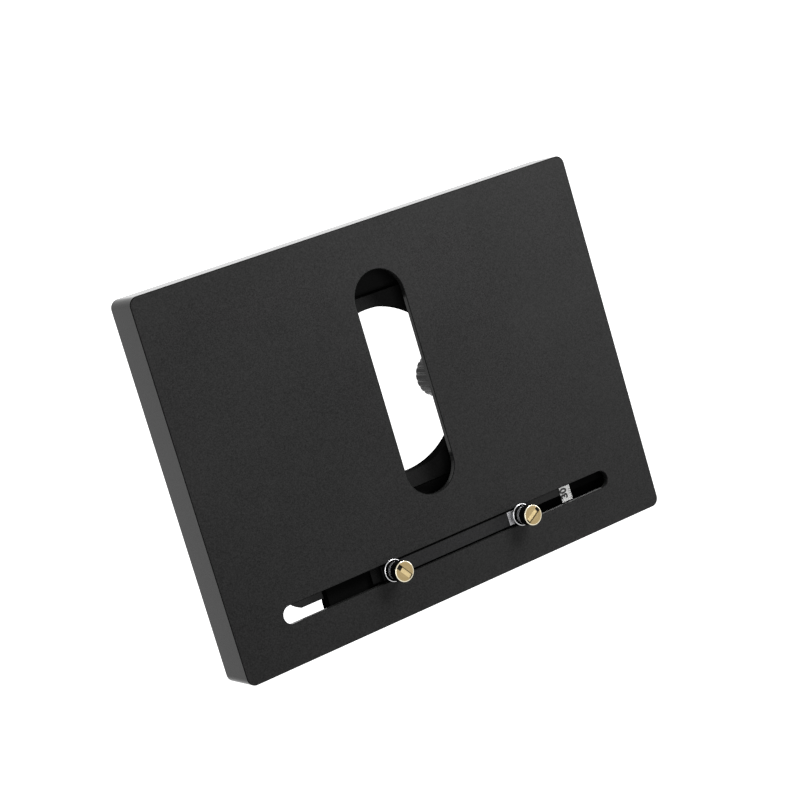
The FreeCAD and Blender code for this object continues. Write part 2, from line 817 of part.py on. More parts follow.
def make_pulley_posts():
    """Headed posts on which the idlers turn."""
    head_top = idler_bottom - running_clearance * 2
    posts = []
    for x, y, top in ((-left_idler_x, ledge_idler_y, ledge_top), (outer_idler_x, ledge_idler_y, ledge_top),
                      (inner_idler_x, inner_idler_y, plate_under + skin_screw_bite)):
        post = cylinder(x, y, head_top, top, post_radius)
        post = post.fuse(cylinder(x, y, head_top - idler_head_height, head_top, idler_head_radius))
        posts.append(post.removeSplitter())
    return group(posts)


def arc(x, y, radius, start, middle, end):
    """Return the arc about a centre through three directions given in degrees."""
    points = [FreeCAD.Vector(x + radius * math.cos(math.radians(angle)),
                             y + radius * math.sin(math.radians(angle)), wire_level)
              for angle in (start, middle, end)]
    return Part.Arc(*points).toShape()


def make_drive_wire():
    """Closed loop of steel wire round the drum and the idlers."""
    arcs = [arc(-left_idler_x, ledge_idler_y, idler_wire_radius, 270, 180, 90),
            arc(inner_idler_x, inner_idler_y, idler_wire_radius, 270, 315, 360),
            arc(handle_x, handle_y, drum_wire_radius, 180, 90, 0),
            arc(outer_idler_x, ledge_idler_y, idler_wire_radius, 0, 315, 270)]
    edges = []
    for index, bend in enumerate(arcs):
        following = arcs[(index + 1) % len(arcs)]
        edges.append(bend)
        edges.append(Part.makeLine(bend.valueAt(bend.LastParameter),
                                   following.valueAt(following.FirstParameter)))
    start = edges[1].valueAt(edges[1].FirstParameter)
    path = Part.Wire(edges[1:] + edges[:1])
    section = Part.Wire(Part.makeCircle(wire_radius, start, FreeCAD.Vector(1, 0, 0)))
    return path.makePipeShell([section], True, False)


# Idlers, drum and handle

def grooved_wheel(x, y, wire_circle, rim, height, bore):
    """Return a wheel with a square wire groove."""
    bottom = wire_level - height / 2
    groove_half = wire_radius + wire_seat_clearance
    wheel = ring(x, y, bottom, bottom + height, wire_circle + rim, bore)
    groove = ring(x, y, wire_level - groove_half, wire_level + groove_half, wire_circle + rim + overrun,
                  wire_circle - wire_radius - wire_seat_clearance)
    return wheel.cut(groove)


def make_idler(x, y):
    """Small grooved idler wheel."""
    return grooved_wheel(x, y, idler_wire_radius, idler_rim, idler_height, idler_bore_radius)


def make_wire_drum():
    """Grooved drum fixed on the inner shaft."""
    return grooved_wheel(handle_x, handle_y, drum_wire_radius, drum_rim, drum_height, inner_shaft_radius)


def involute_point(base_radius, radius):
    """Return the polar angle, in radians, that an involute has reached at a radius."""
    turn = math.sqrt(max((radius / base_radius) ** 2 - 1, 0))
    return turn - math.atan(turn)


def pinion_outline():
    """Return the pinion's outline, with a tooth pointing at the rack."""
    base_radius = pitch_radius * math.cos(math.radians(pressure_angle))
    root = pitch_radius - gear_module * tooth_root_share
    tip = pitch_radius + gear_module * tooth_height_share
    start = max(base_radius, root)
    half = math.pi / (2 * pinion_teeth) - backlash / (4 * pitch_radius)
    at_pitch = involute_point(base_radius, pitch_radius)
    points = []
    for index in range(pinion_teeth):
        middle = math.pi + 2 * math.pi * index / pinion_teeth
        flank = []
        for step in range(flank_steps + 1):
            radius = start + (tip - start) * step / flank_steps
            flank.append((radius, half + at_pitch - involute_point(base_radius, radius)))
        flank = [(root, flank[0][1])] + flank
        for radius, angle in flank:
            points.append(polar(radius, middle - angle))
        for radius, angle in reversed(flank):
            points.append(polar(radius, middle + angle))
    return points


def polar(radius, angle):
    """Return the plane point at a radius and an angle from the handle's axis."""
    return (handle_x + radius * math.cos(angle), handle_y + radius * math.sin(angle))


def make_y_pinion():
    """Brass pinion on the sleeve, in mesh with the rack."""
    pinion = prism(pinion_outline(), pinion_bottom, pinion_top)
    bore = cylinder(handle_x, handle_y, pinion_bottom - overrun, pinion_top + overrun, sleeve_radius)
    return pinion.cut(bore)


def make_inner_shaft():
    """Shaft from the lower knob up through the sleeve to the drum and the upper bush."""
    return cylinder(handle_x, handle_y, inner_shaft_bottom, inner_shaft_top, inner_shaft_radius)


def make_sleeve_shaft():
    """Hollow shaft that joins the upper knob to the pinion."""
    return ring(handle_x, handle_y, sleeve_bottom, sleeve_top, sleeve_radius,
                inner_shaft_radius + running_clearance)


def make_sleeve_ring():
    """Ring that keeps the sleeve from rising in its bush."""
    top = arm_bottom - side_clearance
    return ring(handle_x, handle_y, top - ring_thickness, top, sleeve_radius + ring_reach, sleeve_radius)


def ribbed_outline(radius, count):
    """Return a knob's outline with straight ribs."""
    points = []
    step = 2 * math.pi / count
    for index in range(count):
        for share, depth in ((0, 0), (rib_top_share, 0), (rib_foot_share, knob_rib_depth),
                             (1, knob_rib_depth)):
            angle = (index + share) * step
            points.append(polar(radius - depth, angle))
    return points


def make_knob(bottom, height, radius, count, bore, bore_depth, neck_top):
    """Return a ribbed knob with bevelled rims, a plain neck and a bore for its shaft."""
    knob = prism(ribbed_outline(radius, count), bottom, bottom + height)
    solid = cylinder(handle_x, handle_y, bottom, bottom + height, radius)
    rims = [edge for edge in solid.Edges if lies_at(edge, bottom) or lies_at(edge, bottom + height)]
    knob = knob.common(solid.makeChamfer(knob_rim_chamfer, rims))
    if neck_top:
        knob = knob.fuse(cylinder(handle_x, handle_y, bottom + height, neck_top, knob_neck_radius))
    top = max(neck_top, bottom + height) + overrun
    knob = knob.cut(cylinder(handle_x, handle_y, bottom + height - bore_depth, top, bore))
    hole = Part.makeCylinder(set_screw_radius + screw_clearance, radius + overrun,
                             FreeCAD.Vector(handle_x, handle_y, bottom + height / 2), FreeCAD.Vector(1, 0, 0))
    return knob.cut(hole)


def make_y_knob():
    """Larger, upper knob: moves the upper stage along Y."""
    return make_knob(upper_knob_bottom, upper_knob_height, upper_knob_radius, upper_knob_rib_count,
                     sleeve_radius, upper_knob_height + overrun,
                     upper_knob_bottom + upper_knob_height + knob_neck_height)


def make_x_knob():
    """Smaller, lower knob: moves the carriage along X."""
    return make_knob(handle_bottom, lower_knob_height, lower_knob_radius, lower_knob_rib_count,
                     inner_shaft_radius, lower_knob_height - inner_shaft_stop, 0)


def make_set_screw(bottom, height, shaft_radius):
    """Grub screw that holds a knob on its shaft."""
    return Part.makeCylinder(set_screw_radius, set_screw_length,
                             FreeCAD.Vector(handle_x + shaft_radius, handle_y, bottom + height / 2),
                             FreeCAD.Vector(1, 0, 0))


# Carriage

def make_carriage_plate():
    """Plate that slides between the X ways on two tongues."""
    front = slot_y - carriage_width / 2
    back = slot_y + carriage_width / 2
    plate = box(-carriage_left, carriage_right, front, back, carriage_bottom, carriage_top)
    plate = plate.fuse(box(-carriage_left, carriage_right, front - tongue_reach, back + tongue_reach,
                           carriage_middle - tongue_height / 2, carriage_middle + tongue_height / 2))
    plate = plate.removeSplitter()
    for x in (-left_post, right_post):
        plate = plate.cut(screw_hole_up(x, slot_y, carriage_bottom + stud_foot_height, stud_radius,
                                        stud_foot_radius, carriage_bottom - overrun, carriage_thickness))
    for x in bar_screw_xs():
        plate = plate.cut(screw_hole_up(x, slot_y, bar_screw_seat, bar_screw_radius, bar_screw_head_radius,
                                        carriage_bottom - overrun, carriage_thickness))
    for x in clamp_screw_xs():
        plate = plate.cut(cylinder(x, clamp_screw_y, carriage_bottom - overrun,
                                   carriage_bottom + clamp_screw_bite, clamp_screw_radius + screw_clearance))
    return plate


def bar_screw_xs():
    """Return the places along X of the screws that hold the bar."""
    return spaced(-left_post + way_screw_inset, bar_right - way_screw_inset, 3)


def make_carriage_bar():
    """Bar that fills the slot between the two posts, just below the plate's face."""
    bar = box(-bar_left, bar_right, slot_y - bar_width / 2, slot_y + bar_width / 2, carriage_top, bar_top)
    bar = chamfer_at(bar, bar_top, bar_edge_chamfer)
    end = box(-bar_left - end_block_length, -bar_left, slot_y - bar_width / 2, slot_y + bar_width / 2,
              carriage_top, plate_face - end_block_drop)
    bar = bar.fuse(end)
    bar = bar.cut(cylinder(-left_post, slot_y, carriage_top - overrun, bar_top + overrun,
                           stud_radius + screw_clearance))
    for x in bar_screw_xs():
        bar = bar.cut(cylinder(x, slot_y, carriage_top - overrun, carriage_top + bar_screw_bite,
                               bar_screw_radius + screw_clearance))
    return bar


def make_bar_screws():
    """Cap screws that hold the bar from below."""
    reach = carriage_top - bar_screw_seat + bar_screw_bite
    return group([screw_up(x, slot_y, bar_screw_seat, bar_screw_radius, bar_screw_head_radius,
                           bar_screw_head_height, reach) for x in bar_screw_xs()])


def make_post_block():
    """Block under the right-hand post, level with the bar, with a ribbed bright face towards it."""
    block = box(bar_right + ribbed_block_length, right_post + post_block_length / 2, slot_y - bar_width / 2,
                slot_y + bar_width / 2, carriage_top, bar_top)
    return block.cut(cylinder(right_post, slot_y, carriage_top - overrun, bar_top + overrun,
                              stud_radius + screw_clearance))


def make_ribbed_block():
    """Bright ribbed clamp block between the bar and the right-hand post."""
    right = bar_right + ribbed_block_length
    block = box(bar_right, right, slot_y - ribbed_block_width / 2, slot_y + ribbed_block_width / 2,
                carriage_top, bar_top)
    pitch = ribbed_block_length / rib_count
    for index in range(1, rib_count):
        middle = bar_right + pitch * index
        groove = box(middle - pitch / 4, middle + pitch / 4, slot_y - ribbed_block_width,
                     slot_y + ribbed_block_width, bar_top - rib_depth, bar_top + overrun)
        block = block.cut(groove)
    return block


def make_stud(x):
    """Headed stud that carries a post's washer, collar and thumb screw."""
    stud = cylinder(x, slot_y, carriage_bottom, carriage_bottom + stud_foot_height, stud_foot_radius)
    stud = stud.fuse(cylinder(x, slot_y, carriage_bottom, stud_top, stud_radius))
    stud = stud.fuse(cylinder(x, slot_y, bar_top, washer_bottom, stud_foot_radius))
    return stud.removeSplitter()


def make_washer(x):
    """Bright washer that stands just above the plate."""
    return ring(x, slot_y, washer_bottom, collar_bottom, washer_radius, stud_radius + screw_clearance)


def make_collar(x):
    """Grey collar between the washer and the thumb screw."""
    return ring(x, slot_y, collar_bottom, knob_neck_bottom, collar_radius, stud_radius + screw_clearance)


def make_thumb_body(x):
    """Black body of a thumb screw, with a narrower neck and a threaded bore."""
    body = cylinder(x, slot_y, knob_neck_bottom, knob_body_bottom, neck_radius)
    body = body.fuse(cylinder(x, slot_y, knob_body_bottom, brass_bottom, knob_body_radius))
    body = body.removeSplitter()
    body = body.cut(cylinder(x, slot_y, knob_neck_bottom - overrun, stud_top + side_clearance,
                             stud_radius + running_clearance))
    return body.cut(cylinder(x, slot_y, brass_bottom - brass_head_spigot_height, brass_bottom + overrun,
                             brass_head_spigot_radius))


def make_brass_head(x, angle):
    """Brass head of a thumb screw, with a driver slot that stops inside its rim."""
    head = cylinder(x, slot_y, brass_bottom, brass_top, brass_head_radius)
    head = head.fuse(cylinder(x, slot_y, brass_bottom - brass_head_spigot_height, brass_bottom,
                              brass_head_spigot_radius))
    reach = brass_head_radius - driver_slot_rim
    slot = box(-reach, reach, -driver_slot_width / 2, driver_slot_width / 2, brass_top - driver_slot_depth,
               brass_top + overrun)
    slot.rotate(FreeCAD.Vector(0, 0, 0), FreeCAD.Vector(0, 0, 1), angle)
    slot.translate(FreeCAD.Vector(x, slot_y, 0))
    return head.removeSplitter().cut(slot)


def clamp_screw_xs():
    """Return the places along X of the wire clamp's screws."""
    reach = (clamp_length + clamp_wing) / 2
    return (-reach, reach)


def make_wire_clamp():
    """Hooked clamp that ties the carriage to the wire under the ledge."""
    half = clamp_length / 2
    web_back = ledge_front - clamp_front_gap
    web_front = web_back - clamp_web
    clamp = box(-half, half, web_front, web_back, clamp_foot_bottom, carriage_bottom)
    foot = box(-half, half, web_front, drive_run_y + clamp_foot_back, clamp_foot_bottom, clamp_foot_top)
    clamp = clamp.fuse(foot)
    clamp = clamp.fuse(box(-half - clamp_wing, half + clamp_wing, clamp_screw_y - clamp_wing / 2,
                           web_back, carriage_bottom - clamp_wing_thickness, carriage_bottom))
    clamp = clamp.removeSplitter()
    clamp = clamp.cut(Part.makeCylinder(wire_radius + clamp_wire_clearance, clamp_length + overrun * 2,
                                        FreeCAD.Vector(-half - overrun, drive_run_y, wire_level),
                                        FreeCAD.Vector(1, 0, 0)))
    for x in clamp_screw_xs():
        clamp = clamp.cut(cylinder(x, clamp_screw_y, carriage_bottom - clamp_wing_thickness - overrun,
                                   carriage_bottom + overrun, clamp_screw_radius + screw_clearance))
    return clamp


def make_clamp_screws():
    """Small screws that hold the wire clamp under the carriage."""
    seat = carriage_bottom - clamp_wing_thickness
    reach = clamp_wing_thickness + clamp_screw_bite
    return group([screw_up(x, clamp_screw_y, seat, clamp_screw_radius, clamp_screw_head_radius,
                           clamp_screw_head_height, reach) for x in clamp_screw_xs()])


def main():
    """Write every sub-part."""
    os.makedirs("parts", exist_ok=True)
    sub_parts = {
        "base_plate": make_base_plate(),
        "left_fixed_way": make_fixed_way(-1),
        "right_fixed_way": make_fixed_way(1),
        "fixed_way_screws": make_fixed_way_screws(),
        "y_rack": make_y_rack(),
        "rack_screws": make_rack_screws(),
        "left_ball_cage": make_cage(-1),
        "right_ball_cage": make_cage(1),
        "bearing_balls": make_balls(),
        "top_plate": make_top_plate(),
        "left_moving_way": make_moving_way(-1),
        "right_moving_way": make_moving_way(1),
        "moving_way_screws": make_moving_way_screws(),
        "front_x_way": make_front_way(),
        "rear_x_way": make_rear_way(),
        "x_way_screws": make_x_way_screws(),
        "cover_strip": make_cover_strip(),
        "cover_strip_screws": make_strip_screws(),
        "scale_plate": make_scale_plate(),
        "handle_bracket": make_handle_bracket(),
        "bracket_screws": make_bracket_screws(),
        "upper_bush": make_upper_bush(),
        "lower_bush": make_lower_bush(),
        "idler_posts": make_pulley_posts(),
        "drive_wire": make_drive_wire(),
        "left_idler": make_idler(-left_idler_x, ledge_idler_y),
        "outer_idler": make_idler(outer_idler_x, ledge_idler_y),
        "inner_idler": make_idler(inner_idler_x, inner_idler_y),
        "inner_shaft": make_inner_shaft(),
        "wire_drum": make_wire_drum(),
        "x_knob": make_x_knob(),
        "x_knob_set_screw": make_set_screw(handle_bottom, lower_knob_height, inner_shaft_radius),
        "sleeve_shaft": make_sleeve_shaft(),
        "y_pinion": make_y_pinion(),
        "sleeve_ring": make_sleeve_ring(),
        "y_knob": make_y_knob(),
        "y_knob_set_screw": make_set_screw(upper_knob_bottom, upper_knob_height, sleeve_radius),
        "carriage_plate": make_carriage_plate(),
        "carriage_bar": make_carriage_bar(),
        "bar_screws": make_bar_screws(),
        "ribbed_block": make_ribbed_block(),
        "post_block": make_post_block(),
        "wire_clamp": make_wire_clamp(),
        "wire_clamp_screws": make_clamp_screws(),
    }
    posts = (("left", -left_post, left_driver_slot_angle), ("right", right_post, right_driver_slot_angle))
    for side, x, angle in posts:
        sub_parts[side + "_stud"] = make_stud(x)
        sub_parts[side + "_washer"] = make_washer(x)
        sub_parts[side + "_collar"] = make_collar(x)
        sub_parts[side + "_thumb_body"] = make_thumb_body(x)
        sub_parts[side + "_brass_head"] = make_brass_head(x, angle)
    for name, shape in sub_parts.items():
        save(shape, name)


main()
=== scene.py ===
"""Looks of the mechanical microscope stage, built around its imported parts.

Every length is in metres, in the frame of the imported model: +X along the slot, +Y away from it, +Z up.
"""

from __future__ import annotations

import logging
import math
from dataclasses import dataclass, field
from enum import Enum
from typing import Callable

import bmesh
import bpy
from mathutils import Matrix, Vector


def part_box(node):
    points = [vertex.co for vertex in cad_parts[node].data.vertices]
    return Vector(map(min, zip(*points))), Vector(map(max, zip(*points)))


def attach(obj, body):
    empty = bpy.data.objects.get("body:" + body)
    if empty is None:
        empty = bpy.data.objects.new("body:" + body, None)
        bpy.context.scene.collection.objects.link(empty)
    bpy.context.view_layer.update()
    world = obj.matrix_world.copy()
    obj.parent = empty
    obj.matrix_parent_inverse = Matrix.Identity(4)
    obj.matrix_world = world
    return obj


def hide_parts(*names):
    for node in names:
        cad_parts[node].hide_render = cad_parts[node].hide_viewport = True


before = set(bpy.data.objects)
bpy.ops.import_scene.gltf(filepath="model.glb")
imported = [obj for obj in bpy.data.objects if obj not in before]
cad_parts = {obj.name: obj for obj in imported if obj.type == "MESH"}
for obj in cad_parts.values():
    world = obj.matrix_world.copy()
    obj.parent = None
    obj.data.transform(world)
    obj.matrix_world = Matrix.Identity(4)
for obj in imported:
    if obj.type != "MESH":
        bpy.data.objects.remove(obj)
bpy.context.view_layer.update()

MM = 0.001
ROUND_STEPS = 96
WELD = 0.001 * MM
FINE_WELD = 0.0001 * MM
OVERRUN = MM
NOISE_CORE = (0.3, 0.7)
FLAT_NORMAL = 0.99
UPRIGHT_NORMAL = 0.1
Colour = tuple[float, float, float]
Point = tuple[float, float]
Socket = bpy.types.NodeSocket
Material = bpy.types.Material
Piece = bpy.types.Object
Polygon = bpy.types.MeshPolygon
Shape = bmesh.types.BMesh
log = logging.getLogger("stage")


class Body(Enum):
    """Moving groups that a new piece can ride on."""

    UPPER = "upper_stage"
    CARRIAGE = "x_carriage"
    LOWER = "lower_stage"
    LEFT_THUMB = "left_thumb_screw"
    RIGHT_THUMB = "right_thumb_screw"
    X_HANDLE = "x_handle"
    Y_HANDLE = "y_handle"
    LEFT_IDLER = "left_idler_wheel"
    OUTER_IDLER = "outer_idler_wheel"
    INNER_IDLER = "inner_idler_wheel"


class Graph:
    """Small helper that builds the node graph of a material or of the sky."""

    def __init__(self, owner: Material | bpy.types.World) -> None:
        """Start with an empty graph.

        Args:
            owner: what the graph belongs to.
        """
        self.owner = owner
        owner.use_nodes = True
        self.nodes = owner.node_tree.nodes
        self.links = owner.node_tree.links
        self.nodes.clear()

    @classmethod
    def of_material(cls, name: str) -> "Graph":
        """Start the graph of a new material."""
        return cls(bpy.data.materials.new(name))

    def add(self, kind: str, **values: object) -> bpy.types.Node:
        """Add a node.

        Args:
            kind: the node's type.
            values: properties of the node.

        Returns:
            The new node.
        """
        node = self.nodes.new(kind)
        for key, value in values.items():
            setattr(node, key, value)
        return node

    def link(self, source: Socket, target: Socket) -> None:
        """Join two sockets."""
        self.links.new(source, target)

    def place(self, scale: tuple[float, float, float] = (1.0, 1.0, 1.0),
              offset: tuple[float, float, float] = (0.0, 0.0, 0.0)) -> Socket:
        """Give the object coordinates, scaled and moved.

        Args:
            scale: scale along each axis.
            offset: what is added after scaling.

        Returns:
            The vector socket.
        """
        coordinates = self.add("ShaderNodeTexCoord")
        mapping = self.add("ShaderNodeMapping")
        mapping.inputs["Scale"].default_value = scale
        mapping.inputs["Location"].default_value = offset
        self.link(coordinates.outputs["Object"], mapping.inputs["Vector"])
        return mapping.outputs["Vector"]

    def noise(self, vector: Socket, scale: float, detail: float = 2.0,
              roughness: float = 0.5) -> Socket:
        """Give a noise value.

        Args:
            vector: where it is read.
            scale: how fine it is, in cells per metre.
            detail: octaves.
            roughness: strength of the finer octaves.

        Returns:
            The value socket.
        """
        node = self.add("ShaderNodeTexNoise")
        node.inputs["Scale"].default_value = scale
        node.inputs["Detail"].default_value = detail
        node.inputs["Roughness"].default_value = roughness
        self.link(vector, node.inputs["Vector"])
        return node.outputs["Fac"]

    def remap(self, value: Socket, low: float, high: float, to_low: float, to_high: float) -> Socket:
        """Map a value from one range to another.

        Args:
            value: the value.
            low: lower end of its range.
            high: higher end of its range.
            to_low: what the lower end becomes.
            to_high: what the higher end becomes.

        Returns:
            The value socket.
        """
        node = self.add("ShaderNodeMapRange")
        for index, number in enumerate((low, high, to_low, to_high), start=1):
            node.inputs[index].default_value = number
        self.link(value, node.inputs[0])
        return node.outputs[0]

    def stretch(self, noise: Socket) -> Socket:
        """Give a noise value spread over 0 to 1."""
        return self.remap(noise, *NOISE_CORE, 0.0, 1.0)

    def about(self, noise: Socket, middle: float, spread: float) -> Socket:
        """Give a number that a noise value varies about a middle one."""
        return self.remap(noise, *NOISE_CORE, middle - spread, middle + spread)

    def between(self, value: Socket, first: Colour, second: Colour) -> Socket:
        """Give a colour between two by a value from 0 to 1.

        Args:
            value: the value.
            first: the colour at 0.
            second: the colour at 1.

        Returns:
            The colour socket.
        """
        node = self.add("ShaderNodeValToRGB")
        node.color_ramp.elements[0].color = (*first, 1.0)
        node.color_ramp.elements[1].color = (*second, 1.0)
        self.link(value, node.inputs["Fac"])
        return node.outputs["Color"]

    def split(self, vector: Socket) -> bpy.types.NodeOutputs:
        """Give the X, Y and Z of a vector."""
        node = self.add("ShaderNodeSeparateXYZ")
        self.link(vector, node.inputs[0])
        return node.outputs

    def math(self, operation: str, first: Socket, second: Socket | float = 0.0) -> Socket:
        """Join two values by an operation.

        Args:
            operation: the operation's name.
            first: the first value.
            second: the second value or number, where the operation takes one.

        Returns:
            The value socket.
        """
        node = self.add("ShaderNodeMath", operation=operation)
        self.link(first, node.inputs[0])
        if isinstance(second, float):
            node.inputs[1].default_value = second
        else:
            self.link(second, node.inputs[1])
        return node.outputs[0]

    def bump(self, height: Socket, depth: float, strength: float) -> Socket:
        """Give a bumped normal.

        Args:
            height: the relief, from 0 to 1.
            depth: the relief's depth in metres.
            strength: from 0 to 1.

        Returns:
            The normal socket.
        """
        node = self.add("ShaderNodeBump")
        node.inputs["Distance"].default_value = depth
        node.inputs["Strength"].default_value = strength
        self.link(height, node.inputs["Height"])
        return node.outputs["Normal"]

    def surface(self, metallic: float, specular: float = 0.5) -> bpy.types.Node:
        """Add the shader and the output.

        Args:
            metallic: 0 or 1.
            specular: level of the plain reflection.

        Returns:
            The shader node.
        """
        shader = self.add("ShaderNodeBsdfPrincipled")
        shader.inputs["Metallic"].default_value = metallic
        shader.inputs["Specular IOR Level"].default_value = specular
        output = self.add("ShaderNodeOutputMaterial")
        self.link(shader.outputs["BSDF"], output.inputs["Surface"])
        return shader


@dataclass(frozen=True)
class AnodisedFinish:
    """Matt black anodised aluminium with a very fine bead-blasted grain, with painted shade on bevelled rims
    and, where asked, along a stretch of X.
    """

    name: str
    dark: Colour
    light: Colour
    roughness: float = 0.42
    roughness_spread: float = 0.06
    wall_smooth_share: float = 1.0
    grain_per_metre: float = 2100.0
    grain_depth: float = 0.02 * MM
    grain_strength: float = 0.25
    grain_share: float = 0.85
    cloud_per_metre: float = 28.0
    specular: float = 0.22
    edge_shade: float = 0.15
    painted_shade_share: float = 0.1
    painted_shade_blend: float = 0.2 * MM
    wall_tilts: Point = (0.1, 0.5)
    rim_low_tilts: Point = (0.2, 0.3)
    rim_high_tilts: Point = (0.85, 0.95)

    def build(self, painted_shade_span: Point | None = None) -> Material:
        """Make the material.

        Args:
            painted_shade_span: stretch along X that gets painted shade: the colour is much darker there.

        Returns:
            The material.
        """
        graph = Graph.of_material(self.name)
        shader = graph.surface(metallic=0.0, specular=self.specular)
        place = graph.place()
        grain = graph.noise(place, self.grain_per_metre, detail=3.0, roughness=0.6)
        cloud = graph.noise(place, self.cloud_per_metre, detail=3.0)
        mixed = graph.math("ADD", graph.math("MULTIPLY", grain, self.grain_share),
                           graph.math("MULTIPLY", cloud, 1.0 - self.grain_share))
        shaded = graph.add("ShaderNodeVectorMath", operation="SCALE")
        graph.link(graph.between(graph.stretch(mixed), self.dark, self.light), shaded.inputs[0])
        # Painted shade: bevelled rims are darkened to edge_shade of the colour.
        shade = graph.remap(self.painted_rim_shade_mask(graph), 0.0, 1.0, 1.0, self.edge_shade)
        # Painted shade: the colour is darkened to painted_shade_share along the stretch painted_shade_span.
        if painted_shade_span is not None:
            start, end = painted_shade_span
            along = graph.split(place)["X"]
            begun = graph.remap(along, start, start + self.painted_shade_blend, 0.0, 1.0)
            ended = graph.remap(along, end - self.painted_shade_blend, end, 1.0, 0.0)
            inside = graph.math("MULTIPLY", begun, ended)
            shade = graph.math("MULTIPLY", shade, graph.remap(inside, 0.0, 1.0, 1.0, self.painted_shade_share))
        graph.link(shade, shaded.inputs["Scale"])
        graph.link(shaded.outputs[0], shader.inputs["Base Color"])
        walls = graph.remap(self.tilt(graph), *self.wall_tilts, self.wall_smooth_share, 1.0)
        rough = graph.about(mixed, self.roughness, self.roughness_spread)
        graph.link(graph.math("MULTIPLY", rough, walls), shader.inputs["Roughness"])
        graph.link(graph.bump(grain, self.grain_depth, self.grain_strength), shader.inputs["Normal"])
        return graph.owner

    @staticmethod
    def tilt(graph: Graph) -> Socket:
        """Give 0 on upright walls and 1 on level faces."""
        return graph.math("ABSOLUTE", graph.split(graph.add("ShaderNodeTexCoord").outputs["Normal"])["Z"])

    def painted_rim_shade_mask(self, graph: Graph) -> Socket:
        """Give 1 on bevelled rims, which get painted shade, and 0 elsewhere."""
        tilt = self.tilt(graph)
        begun = graph.remap(tilt, *self.rim_low_tilts, 0.0, 1.0)
        return graph.math("MULTIPLY", begun, graph.remap(tilt, *self.rim_high_tilts, 1.0, 0.0))


class Lay(Enum):
    """Direction of a metal's tool marks."""

    ALONG_X = (40.0, 4000.0, 4000.0)
    ALONG_Y = (4000.0, 40.0, 4000.0)
    ALONG_Z = (4000.0, 4000.0, 40.0)


@dataclass(frozen=True)
class MarkedMetal:
    """Bright metal whose colour, gloss and relief follow its tool marks."""

    name: str
    dark: Colour
    light: Colour
    roughness: float = 0.28
    roughness_spread: float = 0.07
    mark_depth: float = 0.006 * MM
    mark_strength: float = 0.3

    def marks(self, graph: Graph) -> Socket:
        """Give the tool marks as a noise value."""
        raise NotImplementedError

    def build(self) -> Material:
        """Return the material."""
        graph = Graph.of_material(self.name)
        shader = graph.surface(metallic=1.0)
        marks = self.marks(graph)
        graph.link(graph.between(graph.stretch(marks), self.dark, self.light), shader.inputs["Base Color"])
        graph.link(graph.about(marks, self.roughness, self.roughness_spread), shader.inputs["Roughness"])
        graph.link(graph.bump(marks, self.mark_depth, self.mark_strength), shader.inputs["Normal"])
        return graph.owner


@dataclass(frozen=True)
class GroundMetal(MarkedMetal):
    """Ground or drawn metal, with fine marks along one direction."""

    lay: Lay = Lay.ALONG_Y

    def marks(self, graph: Graph) -> Socket:
        """Give marks that run along the lay."""
        return graph.noise(graph.place(self.lay.value), 1.0, detail=4.0, roughness=0.65)


@dataclass(frozen=True)
class TurnedMetal(MarkedMetal):
    """Lathe-turned metal, with rings about an upright axis."""

    roughness: float = 0.24
    roughness_spread: float = 0.05
    mark_depth: float = 0.004 * MM
    mark_strength: float = 0.35
    axis: Point = (0.0, 0.0)
    rings_per_metre: float = 9000.0

    def marks(self, graph: Graph) -> Socket:
        """Give rings about the axis."""
        place = graph.split(graph.place(offset=(-self.axis[0], -self.axis[1], 0.0)))
        square_x = graph.math("MULTIPLY", place["X"], place["X"])
        square_y = graph.math("MULTIPLY", place["Y"], place["Y"])
        radius = graph.math("SQRT", graph.math("ADD", square_x, square_y))
        joined = graph.add("ShaderNodeCombineXYZ")
        graph.link(graph.math("MULTIPLY", radius, self.rings_per_metre), joined.inputs["X"])
        graph.link(graph.math("MULTIPLY", place["Z"], self.rings_per_metre), joined.inputs["Z"])
        return graph.noise(joined.outputs[0], 1.0, detail=3.0, roughness=0.6)


@dataclass(frozen=True)
class PrintedFace:
    """White lacquer or black ink, with a faint orange-peel relief."""

    name: str
    colour: Colour
    roughness: float = 0.35
    roughness_spread: float = 0.05
    tint: float = 0.03
    peel_per_metre: float = 900.0
    peel_depth: float = 0.01 * MM
    peel_strength: float = 0.1

    def build(self) -> Material:
        """Return the material."""
        graph = Graph.of_material(self.name)
        shader = graph.surface(metallic=0.0)
        peel = graph.noise(graph.place(), self.peel_per_metre)
        lower = tuple(channel * (1.0 - self.tint) for channel in self.colour)
        graph.link(graph.between(peel, lower, self.colour), shader.inputs["Base Color"])
        graph.link(graph.about(peel, self.roughness, self.roughness_spread), shader.inputs["Roughness"])
        graph.link(graph.bump(peel, self.peel_depth, self.peel_strength), shader.inputs["Normal"])
        return graph.owner


def dress(nodes: list[str], material: Material) -> None:
    """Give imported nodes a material.

    Args:
        nodes: the nodes' names.
        material: the finish.
    """
    for name in nodes:
        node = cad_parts[name]
        node.data.materials.clear()
        node.data.materials.append(material)


def add_object(name: str, data: bpy.types.ID) -> Piece:
    """Add an object to the scene."""
    made = bpy.data.objects.new(name, data)
    bpy.context.scene.collection.objects.link(made)
    return made


def mesh_of(name: str, shape: Shape) -> bpy.types.Mesh:
    """Turn a shape into a mesh and free it."""
    mesh = bpy.data.meshes.new(name)
    shape.to_mesh(mesh)
    shape.free()
    return mesh


def make_piece(name: str, shape: Shape, material: Material, body: Body, smooth_angle: float = 30.0) -> Piece:
    """Turn a finished shape into a piece that rides on a body.

    Args:
        name: the piece's name.
        shape: the shape, at its place; it is freed here.
        material: the finish.
        body: what the piece moves with.
        smooth_angle: edges sharper than this many degrees stay sharp.

    Returns:
        The new object.
    """
    bmesh.ops.recalc_face_normals(shape, faces=shape.faces)
    piece = add_object(name, mesh_of(name, shape))
    piece.data.materials.append(material)
    smooth_piece(piece, smooth_angle)
    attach(piece, body.value)
    return piece


